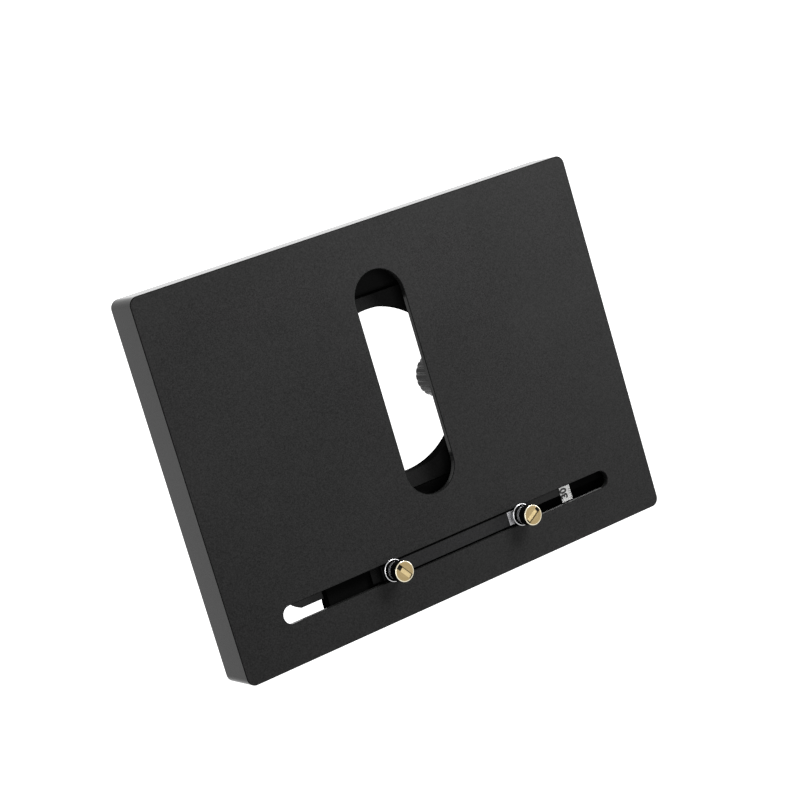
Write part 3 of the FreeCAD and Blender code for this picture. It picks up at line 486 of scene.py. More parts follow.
def smooth_piece(piece: Piece, smooth_angle: float = 30.0) -> None:
    """Shade a piece smoothly, apart from its sharp edges."""
    for polygon in piece.data.polygons:
        polygon.use_smooth = True
    piece.data.set_sharp_from_angle(angle=math.radians(smooth_angle))


def stand_in(piece: Piece, node: str) -> None:
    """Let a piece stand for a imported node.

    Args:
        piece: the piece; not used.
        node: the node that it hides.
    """
    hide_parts(node)
    log.info("%s", node)


def lathe(profile: list[Point], centre: Point, closed: bool = False, steps: int = ROUND_STEPS) -> Shape:
    """Spin a profile about an upright axis.

    Args:
        profile: radius and height of each point, from the bottom to the top.
        centre: where the axis stands.
        closed: joins the last point to the first, for a ring.
        steps: faces round the axis.

    Returns:
        The closed shape.
    """
    shape = bmesh.new()
    points = [shape.verts.new((centre[0] + radius, centre[1], height)) for radius, height in profile]
    pairs = list(zip(points, points[1:]))
    if closed:
        pairs.append((points[-1], points[0]))
    edges = [shape.edges.new(pair) for pair in pairs]
    bmesh.ops.spin(shape, geom=points + edges, cent=(centre[0], centre[1], 0.0), axis=(0.0, 0.0, 1.0),
                   angle=2 * math.pi, steps=steps, use_merge=True)
    bmesh.ops.remove_doubles(shape, verts=shape.verts, dist=WELD)
    return shape


def block(low: Vector, high: Vector, round_size: float = 0.0) -> Shape:
    """Return a block between two corners, with rounded edges.

    Args:
        low: the lowest corner.
        high: the highest corner.
        round_size: width of the rounds.

    Returns:
        The shape.
    """
    shape = bmesh.new()
    bmesh.ops.create_cube(shape, size=1.0)
    bmesh.ops.scale(shape, vec=high - low, verts=shape.verts)
    bmesh.ops.translate(shape, vec=(high + low) / 2, verts=shape.verts)
    if round_size:
        bmesh.ops.bevel(shape, geom=list(shape.edges), offset=round_size, offset_type="OFFSET", segments=3,
                        profile=0.5, affect="EDGES", material=-1, clamp_overlap=True)
    return shape


def cut_with(piece: Piece, cutters: list[Shape]) -> None:
    """Cut shapes out of a piece.

    Args:
        piece: the piece to cut.
        cutters: the shapes to take away; they are freed here.
    """
    for cutter in cutters:
        bmesh.ops.recalc_face_normals(cutter, faces=cutter.faces)
        tool = add_object("cutter", mesh_of("cutter", cutter))
        modifier = piece.modifiers.new("cut", "BOOLEAN")
        modifier.object = tool
        modifier.solver = "EXACT"
        graph = bpy.context.evaluated_depsgraph_get()
        result = bpy.data.meshes.new_from_object(piece.evaluated_get(graph))
        piece.modifiers.clear()
        piece.data = result
        bpy.data.objects.remove(tool)


def solid_islands(node: str) -> list[list[Vector]]:
    """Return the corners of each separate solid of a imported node."""
    shape = bmesh.new()
    shape.from_mesh(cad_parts[node].data)
    bmesh.ops.remove_doubles(shape, verts=shape.verts, dist=WELD)
    left = set(shape.verts)
    islands = []
    while left:
        queue = [left.pop()]
        island = []
        while queue:
            vert = queue.pop()
            island.append(vert.co.copy())
            for edge in vert.link_edges:
                other = edge.other_vert(vert)
                if other in left:
                    left.discard(other)
                    queue.append(other)
        islands.append(island)
    shape.free()
    return islands


@dataclass(frozen=True)
class Lamp:
    """Soft square lamp that faces the object."""

    name: str
    place: tuple[float, float, float]
    size: float
    power: float

    def build(self) -> None:
        """Add the lamp to the scene."""
        data = bpy.data.lights.new(self.name, "AREA")
        data.shape = "RECTANGLE"
        data.size = data.size_y = self.size
        data.energy = self.power
        lamp = add_object(self.name, data)
        lamp.location = self.place
        lamp.rotation_euler = (-Vector(self.place)).to_track_quat("-Z", "Y").to_euler()


@dataclass
class Studio:
    """White backdrop, soft lights and the camera of the photograph's view.

    A low key stands at the right and a near lamp behind it, with fills at the left and above.
    """

    camera_place: Vector = field(default_factory=lambda: Vector((-393.946, 113.976, 705.391)) * MM)
    camera_target: Vector = field(default_factory=lambda: Vector((-4.549, -2.813, 18.75)) * MM)
    camera_roll: float = math.radians(87.964)
    lens: float = 93.39
    sensor: float = 36.0
    view_reach: float = 20.0
    floor_height: float = -0.8
    floor_size: float = 12.0
    floor_tone: Colour = (0.88, 0.88, 0.88)
    floor_glow: float = 0.96
    sky_level: float = 0.165
    lamps: tuple[Lamp, ...] = (Lamp("key", (1.4, 0.0, 1.15), 0.5, 7.0),
                               Lamp("back", (0.27, 0.33, 0.4), 0.3, 5.7),
                               Lamp("left_fill", (-1.3, 0.4, 0.4), 0.8, 1.2),
                               Lamp("top_fill", (-0.45, 0.0, 1.4), 0.7, 7.7))

    def build(self) -> None:
        """Make the floor, the lights, the sky and the camera."""
        self.make_floor()
        self.make_sky()
        for lamp in self.lamps:
            lamp.build()
        self.make_camera()
        bpy.context.scene.view_settings.view_transform = "Standard"
        log.info("studio: floor, sky, lamps and camera")

    @staticmethod
    def seen_directly(graph: Graph) -> Socket:
        """Give 1 for rays that show the backdrop itself, also in metal and glass."""
        path = graph.add("ShaderNodeLightPath")
        glossy = graph.math("MAXIMUM", path.outputs["Is Glossy Ray"], path.outputs["Is Transmission Ray"])
        return graph.math("MAXIMUM", path.outputs["Is Camera Ray"], glossy)

    def make_floor(self) -> None:
        """Make the pale floor, which keeps the object's shadow."""
        shape = bmesh.new()
        bmesh.ops.create_grid(shape, x_segments=1, y_segments=1, size=self.floor_size / 2)
        bmesh.ops.translate(shape, vec=(0.0, 0.0, self.floor_height), verts=shape.verts)
        floor = add_object("floor", mesh_of("floor", shape))
        graph = Graph.of_material("pale_floor")
        paper = graph.add("ShaderNodeBsdfDiffuse")
        paper.inputs["Color"].default_value = (*self.floor_tone, 1.0)
        glow = graph.add("ShaderNodeEmission")
        level = graph.math("MULTIPLY", self.seen_directly(graph), self.floor_glow)
        graph.link(level, glow.inputs["Strength"])
        both = graph.add("ShaderNodeAddShader")
        graph.link(paper.outputs[0], both.inputs[0])
        graph.link(glow.outputs[0], both.inputs[1])
        output = graph.add("ShaderNodeOutputMaterial")
        graph.link(both.outputs[0], output.inputs["Surface"])
        floor.data.materials.append(graph.owner)

    def make_sky(self) -> None:
        """Make the world: plain soft light, and white where it is seen."""
        world = bpy.data.worlds.new("sky")
        bpy.context.scene.world = world
        graph = Graph(world)
        background = graph.add("ShaderNodeBackground")
        background.inputs["Color"].default_value = (1.0, 1.0, 1.0, 1.0)
        level = graph.remap(self.seen_directly(graph), 0.0, 1.0, self.sky_level, 1.0)
        graph.link(level, background.inputs["Strength"])
        output = graph.add("ShaderNodeOutputWorld")
        graph.link(background.outputs[0], output.inputs["Surface"])

    def make_camera(self) -> None:
        """Make the camera."""
        data = bpy.data.cameras.new("camera")
        data.lens = self.lens
        data.sensor_width = self.sensor
        data.clip_end = self.view_reach
        camera = add_object("camera", data)
        aim = (self.camera_target - self.camera_place).to_track_quat("-Z", "Y").to_matrix().to_4x4()
        turn = Matrix.Rotation(self.camera_roll, 4, "Z")
        camera.matrix_world = Matrix.Translation(self.camera_place) @ aim @ turn
        bpy.context.scene.camera = camera


def even(level: float) -> Colour:
    """Return a neutral colour."""
    return (level, level, level)


BLACK_FACE = AnodisedFinish("black_face", even(0.0045), even(0.0195), roughness=0.4, wall_smooth_share=0.45,
                            specular=0.08)
BLACK_METAL = AnodisedFinish("black_metal", (0.006, 0.006, 0.0062), (0.018, 0.018, 0.0184), roughness=0.4,
                             specular=0.08)
PLATE_BLACK = AnodisedFinish("plate_black", even(0.009), even(0.016), roughness=0.9, specular=0.0)
# Painted light: the ledge's black is several times lighter than the plates', standing in for light that falls
# down the slot onto it.
PAINTED_LIGHT_LEDGE_BLACK = AnodisedFinish("painted_light_ledge_black", even(0.034), even(0.052), roughness=0.9, specular=0.0)
# Painted shade: near black with no reflection, for parts and faces that lie in shade.
PAINTED_SHADE_BLACK = AnodisedFinish("painted_shade_black", even(0.002), even(0.004), roughness=0.9, specular=0.0)
GLOSS_BLACK = AnodisedFinish("gloss_black", even(0.002), even(0.004), roughness=0.3, roughness_spread=0.03,
                             grain_strength=0.08, specular=0.03)
KNOB_BLACK = AnodisedFinish("knob_black", even(0.004), even(0.009), roughness=0.28, grain_per_metre=1500.0,
                            grain_depth=0.01 * MM, cloud_per_metre=90.0, specular=0.08)
SCREW_BLACK = AnodisedFinish("black_oxide", (0.012, 0.012, 0.014), (0.028, 0.028, 0.031), roughness=0.3,
                             grain_per_metre=5200.0, cloud_per_metre=420.0, specular=0.7)
# Painted shade and dark reflection: near-black brass for the driver slot's walls and the ends of its floor.
PAINTED_SLOT_SHADE = AnodisedFinish("painted_slot_shade_brass", (0.006, 0.005, 0.004), (0.02, 0.016, 0.01), roughness=0.6,
                         grain_per_metre=6000.0, specular=0.05)
CAGE_BRASS = GroundMetal("cage_brass", (0.50, 0.36, 0.15), (0.66, 0.49, 0.22))
WAY_STEEL = GroundMetal("ground_steel", (0.36, 0.36, 0.37), (0.55, 0.55, 0.56))
BLOCK_STEEL = GroundMetal("block_steel", (0.34, 0.34, 0.35), (0.42, 0.42, 0.43), roughness=0.4,
                          roughness_spread=0.03, mark_strength=0.02)
WIRE_STEEL = GroundMetal("wire_steel", (0.40, 0.40, 0.41), (0.62, 0.62, 0.63), roughness=0.3, lay=Lay.ALONG_X)
BALL_STEEL = GroundMetal("ball_steel", (0.60, 0.60, 0.61), (0.66, 0.66, 0.67), roughness=0.08,
                         roughness_spread=0.02, mark_strength=0.05, lay=Lay.ALONG_Z)
SCALE_WHITE = PrintedFace("scale_white", (0.94, 0.94, 0.93))
SCALE_INK = PrintedFace("scale_ink", even(0.012), roughness=0.4)


class Tone(Enum):
    """Darker and lighter colour of each turned metal."""

    BRASS = ((0.355, 0.262, 0.125), (0.445, 0.345, 0.178))
    CREAM_HIGHLIGHT = ((0.82, 0.76, 0.58), (0.90, 0.84, 0.66))
    GOLD_REFLECTION = ((0.54, 0.42, 0.21), (0.68, 0.54, 0.29))
    STEEL = ((0.62, 0.62, 0.63), (0.72, 0.72, 0.73))
    DRAWN = ((0.26, 0.26, 0.27), (0.42, 0.42, 0.43))
    GREY = ((0.36, 0.36, 0.37), (0.46, 0.46, 0.47))


def turned(name: str, tone: Tone, axis: Point, **changes: float) -> Material:
    """Return a lathe-turned finish about an upright axis.

    Args:
        name: the material's name.
        tone: the metal's tone.
        axis: where the axis stands.
        changes: other values of the finish.

    Returns:
        The material.
    """
    dark, light = tone.value
    return TurnedMetal(name, dark, light, axis=axis, **changes).build()


def middle(node: str) -> Point:
    """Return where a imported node's upright axis stands."""
    low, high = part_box(node)
    return (low.x + high.x) / 2, (low.y + high.y) / 2


def radius_of(node: str) -> float:
    """Return the radius of a packed round node."""
    low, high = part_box(node)
    return (high.x - low.x) / 2


def rounded(corners: list[Point], size: float, steps: int = 4) -> list[Point]:
    """Round the inner corners of an open profile.

    Args:
        corners: radius and height of each corner.
        size: reach of each round along its two sides.
        steps: parts of each round.

    Returns:
        The profile with its rounds.
    """
    profile = [corners[0]]
    for before, corner, after in zip(corners, corners[1:], corners[2:]):
        here = Vector(corner)
        start = here + (Vector(before) - here).normalized() * min(size, (Vector(before) - here).length / 2)
        end = here + (Vector(after) - here).normalized() * min(size, (Vector(after) - here).length / 2)
        for step in range(steps + 1):
            share = step / steps
            point = start * (1 - share) ** 2 + here * 2 * share * (1 - share) + end * share ** 2
            profile.append((point.x, point.y))
    profile.append(corners[-1])
    return profile


@dataclass
class ThumbScrew:
    """Holder post: bright washer, grey collar, black thumb body and slotted brass head."""

    side: str
    body: Body
    slot_angle: float
    body_round: float = 0.35 * MM
    head_round: float = 0.2 * MM
    washer_round: float = 0.3 * MM
    collar_round: float = 0.12 * MM
    collar_groove: float = 0.45 * MM
    groove_height_share: float = 0.42
    shaded_ends: Point = (0.0, 0.0)
    rim_width: float = 0.4 * MM
    driver_width: float = 2.0 * MM
    driver_depth: float = 0.5 * MM
    driver_end: float = 0.45 * MM
    bore: float = 2.05 * MM
    neck_radius: float = 2.9 * MM
    neck_height: float = 0.9 * MM
    head_seat: float = 0.8 * MM
    level_slack: float = 0.05 * MM

    def __post_init__(self) -> None:
        """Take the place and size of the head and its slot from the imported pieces."""
        self.axis = middle(f"{self.side}_thumb_body")
        head = f"{self.side}_brass_head"
        self.head_foot, self.head_top = (corner.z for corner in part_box(head))
        self.head_radius = radius_of(head)
        self.driver_floor = self.head_top - self.driver_depth
        self.driver_reach = self.head_radius - self.driver_end
        self.driver_line = Matrix.Rotation(math.radians(self.slot_angle), 3, "Z") @ Vector((1.0, 0.0, 0.0))

    def build(self) -> None:
        """Make and dress the post's pieces."""
        washer = self.make_ring("washer", self.washer_round, Tone.STEEL, roughness=0.2)
        # Painted shade and reflection: the washer's flat top is near black, as if in the thumb body's shade;
        # only its rounded rims keep the bright steel.
        self.paint(washer, PAINTED_SHADE_BLACK.build(), self.is_level)
        collar = self.make_ring("collar", self.collar_round, Tone.GREY, roughness=0.5,
                                groove=self.collar_groove)
        # Painted shade: the groove at the collar's foot is near black.
        self.paint(collar, PAINTED_SHADE_BLACK.build(), self.is_in_groove)
        self.make_body()
        self.make_head()
        dress([f"{self.side}_stud"], turned(f"{self.side}_stud_steel", Tone.STEEL, self.axis))

    @staticmethod
    def paint(piece: Piece, material: Material, chosen: Callable[[Polygon], bool]) -> None:
        """Give some faces of a piece another finish.

        Args:
            piece: the piece.
            material: the finish.
            chosen: tells whether a face takes it.
        """
        piece.data.materials.append(material)
        index = len(piece.data.materials) - 1
        for polygon in piece.data.polygons:
            if chosen(polygon):
                polygon.material_index = index

    @staticmethod
    def is_level(polygon: Polygon) -> bool:
        """Tell whether a face looks straight up."""
        return polygon.normal.z > FLAT_NORMAL

    def is_in_groove(self, polygon: Polygon) -> bool:
        """Tell whether a face of the collar lies in the groove at its foot."""
        low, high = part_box(f"{self.side}_collar")
        return polygon.center.z < low.z + (high.z - low.z) * self.groove_height_share

    def reach_of(self, polygon: Polygon) -> float:
        """Return how far a face lies from the post's axis."""
        return math.dist(polygon.center.xy, self.axis)

    def is_on_floor(self, face: Polygon | bmesh.types.BMFace, place: Vector) -> bool:
        """Tell whether a face is part of the driver slot's floor.

        Args:
            face: the face.
            place: its centre.

        Returns:
            Whether it is.
        """
        return abs(place.z - self.driver_floor) < self.level_slack and face.normal.z > FLAT_NORMAL

    def is_floor(self, polygon: Polygon) -> bool:
        """Tell whether a polygon is part of the driver slot's floor."""
        return self.is_on_floor(polygon, polygon.center)

    def is_painted_slot_shade(self, polygon: Polygon) -> bool:
        """Tell whether a face gets painted shade: a wall of the driver slot or a dark end of its floor."""
        if self.is_floor(polygon):
            place = (polygon.center - Vector((*self.axis, 0.0))).dot(self.driver_line)
            share = place / (2 * self.driver_reach) + 0.5
            return share < self.shaded_ends[0] or share > 1 - self.shaded_ends[1]
        between = self.driver_floor < polygon.center.z < self.head_top
        upright = abs(polygon.normal.z) < UPRIGHT_NORMAL
        return between and upright and self.reach_of(polygon) < self.head_radius - self.driver_end / 2

    def is_rim(self, polygon: Polygon) -> bool:
        """Tell whether a face belongs to the polished rim round the head's top, which is also painted paler
        as a highlight.
        """
        raised = polygon.center.z > self.head_top - self.head_round and polygon.normal.z > UPRIGHT_NORMAL
        return raised and self.reach_of(polygon) > self.head_radius - self.rim_width

    def make_ring(self, node: str, round_size: float, tone: Tone, roughness: float,
                  groove: float = 0.0) -> Piece:
        """Make the washer or the collar, with rounded rims.

        Args:
            node: washer or collar.
            round_size: reach of its rounds.
            tone: tone of its metal.
            roughness: its finish.
            groove: depth of the groove at its foot.

        Returns:
            The piece.
        """
        low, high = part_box(f"{self.side}_{node}")
        radius = radius_of(f"{self.side}_{node}")
        step = low.z + (high.z - low.z) * self.groove_height_share
        wall = [(radius, low.z)]
        if groove:
            wall = [(radius - groove, low.z), (radius - groove, step), (radius, step)]
        corners = [(self.bore, low.z), *wall, (radius, high.z), (self.bore, high.z)]
        shape = lathe(rounded(corners, round_size), self.axis, closed=True)
        finish = turned(f"{self.side}_{node}_finish", tone, self.axis, roughness=roughness,
                        roughness_spread=0.02, mark_strength=0.02)
        piece = make_piece(f"{self.side}_{node}_turned", shape, finish, Body.CARRIAGE)
        stand_in(piece, f"{self.side}_{node}")
        return piece

    def make_body(self) -> None:
        """Make the black thumb body with a neck below."""
        low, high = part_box(f"{self.side}_thumb_body")
        radius = radius_of(f"{self.side}_thumb_body")
        shoulder = low.z + self.neck_height
        corners = [(self.bore, low.z), (self.neck_radius, low.z), (self.neck_radius, shoulder),
                   (radius, shoulder), (radius, high.z), (self.bore, high.z)]
        shape = lathe(rounded(corners, self.body_round), self.axis, closed=True)
        piece = make_piece(f"{self.side}_thumb_body_turned", shape, GLOSS_BLACK.build(), self.body)
        stand_in(piece, f"{self.side}_thumb_body")

    def make_head(self) -> None:
        """Make the brass head, with its rim round and its driver slot."""
        radius, top = self.head_radius, self.head_top
        seat = top - self.head_seat
        corners = [(0.0, self.head_foot), (self.bore, self.head_foot), (self.bore, seat), (radius, seat),
                   (radius, top), (radius - self.rim_width, top), (0.0, top)]
        shape = lathe(rounded(corners, self.head_round), self.axis)
        finish = turned(f"{self.side}_head_brass", Tone.BRASS, self.axis)
        piece = make_piece(f"{self.side}_brass_head_turned", shape, finish, self.body)
        cutter = block(Vector((-self.driver_reach, -self.driver_width / 2, self.driver_floor)),
                       Vector((self.driver_reach, self.driver_width / 2, top + OVERRUN)))
        turn = Matrix.Rotation(math.radians(self.slot_angle), 4, "Z")
        bmesh.ops.transform(cutter, matrix=Matrix.Translation((*self.axis, 0.0)) @ turn, verts=cutter.verts)
        cut_with(piece, [cutter])
        self.split_floor(piece)
        # The rim is polished and also painted pale cream as a highlight; the slot floor is painted a lighter
        # brass as a reflection.
        rim = turned(f"{self.side}_rim_highlight_brass", Tone.CREAM_HIGHLIGHT, self.axis, roughness=0.15)
        floor = turned(f"{self.side}_floor_reflection_brass", Tone.GOLD_REFLECTION, self.axis, roughness=0.3)
        self.paint(piece, rim, self.is_rim)
        self.paint(piece, floor, self.is_floor)
        # Painted shade on the slot's walls and floor ends.
        self.paint(piece, PAINTED_SLOT_SHADE.build(), self.is_painted_slot_shade)
        smooth_piece(piece)
        stand_in(piece, f"{self.side}_brass_head")

    def split_floor(self, piece: Piece) -> None:
        """Split the driver slot's floor where its ends with painted shade begin."""
        shape = bmesh.new()
        shape.from_mesh(piece.data)
        for share, side in zip(self.shaded_ends, (-1.0, 1.0)):
            faces = [face for face in shape.faces if self.is_on_floor(face, face.calc_center_median())]
            around = {item for face in faces for item in (*face.verts, *face.edges)}
            shift = self.driver_line * side * self.driver_reach * (1 - 2 * share)
            bmesh.ops.bisect_plane(shape, geom=faces + list(around), dist=WELD,
                                   plane_co=Vector((*self.axis, 0.0)) + shift, plane_no=self.driver_line)
        shape.to_mesh(piece.data)
        shape.free()


@dataclass
class RibbedKnob:
    """Turned knob with ribs round its side, on one shaft of the drive handle."""

    node: str
    body: Body
    ribs: int
    bore: float
    bore_floor: float = 0.0
    neck_height: float = 0.0
    neck_radius: float = 6.0 * MM
    rim: float = 0.8 * MM
    rib_depth: float = 0.5 * MM
    rib_shares: tuple[float, ...] = (0.0, 0.25, 0.85, 1.0, 1.0, 1.0, 1.0, 1.0, 1.0, 1.0, 0.85, 0.25)
    dish_depth: float = 0.3 * MM
    dish_share: float = 0.72
    dish_core_share: float = 0.3
    edge: float = 0.25 * MM
    edge_drop_share: float = 1 / 3

    def __post_init__(self) -> None:
        """Take the knob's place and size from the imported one."""
        low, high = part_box(self.node)
        self.axis = middle(self.node)
        self.radius = radius_of(self.node)
        self.low, self.top = low.z, high.z
        self.high = self.top - self.neck_height

    def build(self) -> None:
        """Make and dress the knob."""
        shape = bmesh.new()
        rings = self.rings()
        made = bmesh.ops.create_circle(shape, segments=self.ribs * len(self.rib_shares), radius=1.0)
        ring = made["verts"]
        self.place_ring(ring, *rings[0])
        first = self.loop_edges(ring)
        edges = first
        for spec in rings[1:]:
            extruded = bmesh.ops.extrude_edge_only(shape, edges=edges)["geom"]
            ring = [item for item in extruded if isinstance(item, bmesh.types.BMVert)]
            edges = [item for item in extruded if isinstance(item, bmesh.types.BMEdge)]
            self.place_ring(ring, *spec)
        if self.bore_floor:
            bmesh.ops.edgeloop_fill(shape, edges=first)
            bmesh.ops.edgeloop_fill(shape, edges=edges)
        else:
            bmesh.ops.bridge_loops(shape, edges=first + edges)
        piece = make_piece(f"{self.node}_ribbed", shape, KNOB_BLACK.build(), self.body, smooth_angle=35.0)
        stand_in(piece, self.node)

    @staticmethod
    def loop_edges(ring: list[bmesh.types.BMVert]) -> list[bmesh.types.BMEdge]:
        """Return the edges of a ring of points."""
        return list({edge for vert in ring for edge in vert.link_edges})

    def rings(self) -> list[tuple[float, float, float]]:
        """Return radius, height and rib share of each ring, from inside the foot to inside the bore."""
        flat, root = self.radius - self.rim, self.radius - self.rib_depth
        low, high, top, edge = self.low, self.high, self.top, self.edge
        drop = edge * self.edge_drop_share
        rings = [(self.bore, low, 0.0)]
        if self.bore_floor:
            dish = self.radius * self.dish_share
            floor = low + self.dish_depth
            rings = [(dish * self.dish_core_share, floor, 0.0), (dish - edge, floor, 0.0),
                     (dish, floor - drop, 0.0), (dish + edge, low, 0.0)]
        rings += [(flat - edge, low, 0.0), (flat, low + drop, 0.0), (root, low + edge + drop, 0.0),
                  (self.radius, low + self.rim, 1.0), (self.radius, high - self.rim, 1.0),
                  (root, high - edge - drop, 0.0), (flat, high - drop, 0.0), (flat - edge, high, 0.0)]
        if self.neck_height:
            neck = self.neck_radius
            rings += [(neck + edge, high, 0.0), (neck, high + edge, 0.0), (neck, top - edge, 0.0),
                      (neck - edge, top, 0.0)]
        rings += [(self.bore + edge, top, 0.0), (self.bore, top - edge, 0.0)]
        if self.bore_floor:
            rings.append((self.bore, low + self.bore_floor, 0.0))
        return rings

    def place_ring(self, ring: list[bmesh.types.BMVert], radius: float, height: float, rib: float) -> None:
        """Set a ring's points on a circle, or on ribs.

        Args:
            ring: its points, in the order in which they were made.
            radius: the circle's radius, at the ribs' tops.
            height: its level.
            rib: 1 where the ribs stand at full depth, 0 where there are none.
        """
        count = len(self.rib_shares)
        total = self.ribs * count
        for vert in ring:
            centre = self.centre_of(vert)
            angle = math.atan2(vert.co.y - centre[1], vert.co.x - centre[0])
            index = round(angle / (2 * math.pi) * total) % total
            share = self.rib_shares[index % count]
            reach = radius - rib * self.rib_depth * (1.0 - share)
            turn = 2 * math.pi * index / total
            x, y = self.axis[0] + reach * math.cos(turn), self.axis[1] + reach * math.sin(turn)
            vert.co = Vector((x, y, height))

    def centre_of(self, vert: bmesh.types.BMVert) -> Point:
        """Return what a point turns about: the origin until it is placed, then the knob's axis."""
        return (0.0, 0.0) if abs(vert.co.z) < WELD else self.axis


@dataclass
class Screws:
    """Group of alike socket screws that are driven from below."""

    node: str
    body: Body
    rim: float = 0.15 * MM
    head_share: float = 0.95
    socket_sides: int = 6
    socket_share: float = 0.5
    socket_depth_share: float = 0.6
    steps: int = 40

    def build(self) -> None:
        """Make and dress every screw of the group."""
        whole = bmesh.new()
        sockets = bmesh.new()
        for island in solid_islands(self.node):
            self.add_screw(whole, sockets, island)
        piece = make_piece(f"{self.node}_sockets", whole, SCREW_BLACK.build(), self.body)
        cut_with(piece, [sockets])
        smooth_piece(piece)
        stand_in(piece, self.node)

    def add_screw(self, whole: Shape, sockets: Shape, island: list[Vector]) -> None:
        """Add one screw and the cutter of its socket.

        Args:
            whole: takes the screw.
            sockets: takes the cutter.
            island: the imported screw's corners.
        """
        low = Vector((min(point[axis] for point in island) for axis in range(3)))
        high = Vector((max(point[axis] for point in island) for axis in range(3)))
        axis = ((low.x + high.x) / 2, (low.y + high.y) / 2)
        radius = (high.x - low.x) / 2
        gaps = [(math.hypot(point.x - axis[0], point.y - axis[1]), point.z) for point in island]
        head_top = max(height for gap, height in gaps if gap > radius * self.head_share)
        shank = max(gap for gap, height in gaps if height > head_top + self.rim)
        corners = [(0.0, low.z), (radius, low.z), (radius, head_top), (shank, head_top),
                   (shank, high.z), (0.0, high.z)]
        join(whole, lathe(rounded(corners, self.rim, steps=3), axis, steps=self.steps))
        cutter = bmesh.new()
        depth = (head_top - low.z) * self.socket_depth_share
        reach = radius * self.socket_share
        bmesh.ops.create_cone(cutter, cap_ends=True, segments=self.socket_sides, radius1=reach, radius2=reach,
                              depth=2 * depth)
        bmesh.ops.translate(cutter, vec=(*axis, low.z), verts=cutter.verts)
        join(sockets, cutter)


def join(whole: Shape, part: Shape) -> None:
    """Add a shape to another and free it."""
    mesh = mesh_of("part", part)
    whole.from_mesh(mesh)
    bpy.data.meshes.remove(mesh)


@dataclass
class WireDrive:
    """Wire drum and idlers, with the steel wire between them."""

    bore: float = 1.3 * MM
    drum_bore: float = 2.0 * MM
    drum_rim: float = 0.9 * MM
    idler_rim: float = 0.8 * MM
    groove_half: float = 0.42 * MM
    rim_round: float = 0.15 * MM

    def build(self) -> None:
        """Make the wheels and dress the wire and its posts."""
        self.make_wheel("wire_drum", Body.X_HANDLE, self.drum_bore, self.drum_rim)
        for place in ("left", "outer", "inner"):
            body = Body[f"{place.upper()}_IDLER"]
            self.make_wheel(f"{place}_idler", body, self.bore, self.idler_rim)
        dress(["drive_wire"], WIRE_STEEL.build())
        dress(["idler_posts"], BALL_STEEL.build())

    def make_wheel(self, node: str, body: Body, bore: float, rim: float) -> None:
        """Make one grooved wheel.

        Args:
            node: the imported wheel.
            body: what it turns with.
            bore: its bore's radius.
            rim: how far its rims stand over the wire's middle.
        """
        low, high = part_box(node)
        radius, level, half = radius_of(node), (low.z + high.z) / 2, self.groove_half
        floor = radius - rim - half
        corners = [(bore, low.z), (radius, low.z), (radius, level - half), (floor, level - half / 2),
                   (floor, level + half / 2), (radius, level + half), (radius, high.z), (bore, high.z)]
        shape = lathe(rounded(corners, self.rim_round, steps=3), middle(node), closed=True)
        finish = turned(f"{node}_finish", Tone.STEEL, middle(node), roughness=0.3)
        stand_in(make_piece(f"{node}_turned", shape, finish, body), node)


@dataclass
class Scale:
    """White plate with a plain number and ticks, seen through the slot."""

    edge: float = 0.12 * MM
    tick_pitch: float = 0.9 * MM
    tick_width: float = 0.2 * MM
    tick_length: float = 0.9 * MM
    tick_count: int = 5
    tick_start: float = 0.8 * MM
    ink_height: float = 0.02 * MM
    digit_size: float = 4.4 * MM
    digit_weight: float = 0.2 * MM
    digit_share: Point = (0.33, 0.32)
    number: int = 30
    number_turn: float = math.radians(90.0)

    def build(self) -> None:
        """Make the plate and its print."""
        low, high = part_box("scale_plate")
        top = high.z - self.ink_height
        shape = block(low, Vector((high.x, high.y, top)), self.edge)
        plate = make_piece("scale_plate_white", shape, SCALE_WHITE.build(), Body.UPPER)
        stand_in(plate, "scale_plate")
        ink = SCALE_INK.build()
        ticks = bmesh.new()
        for index in range(self.tick_count):
            y = low.y + self.tick_start + self.tick_pitch * index
            start = Vector((high.x - self.edge - self.tick_length, y, top - self.ink_height))
            tick = Vector((self.tick_length, self.tick_width, 2 * self.ink_height))
            join(ticks, block(start, start + tick))
        piece = make_piece("scale_ticks", ticks, ink, Body.UPPER)
        across, along = self.digit_share
        x, y = low.x + (high.x - low.x) * across, low.y + (high.y - low.y) * along
        self.print_number(Vector((x, y, top)), ink)
        log.info("ticks and a number")

    def print_number(self, place: Vector, ink: Material) -> None:
        """Print the plain number on the plate, turned to run along Y.

        Args:
            place: the middle of the number.
            ink: its finish.
        """
        curve = bpy.data.curves.new("number", "FONT")
        curve.body = str(self.number)
        curve.size = self.digit_size
        curve.align_x = "CENTER"
        curve.align_y = "CENTER"
        curve.offset = self.digit_weight
        curve.extrude = self.ink_height
        text = add_object("number", curve)
        bpy.context.view_layer.update()
        mesh = bpy.data.meshes.new_from_object(text)
        bpy.data.objects.remove(text)
        shape = bmesh.new()
        shape.from_mesh(mesh)
        bmesh.ops.remove_doubles(shape, verts=shape.verts, dist=FINE_WELD)
        turn = Matrix.Rotation(self.number_turn, 4, "Z")
        bmesh.ops.transform(shape, matrix=Matrix.Translation(place) @ turn, verts=shape.verts)
        piece = make_piece("scale_number", shape, ink, Body.UPPER)


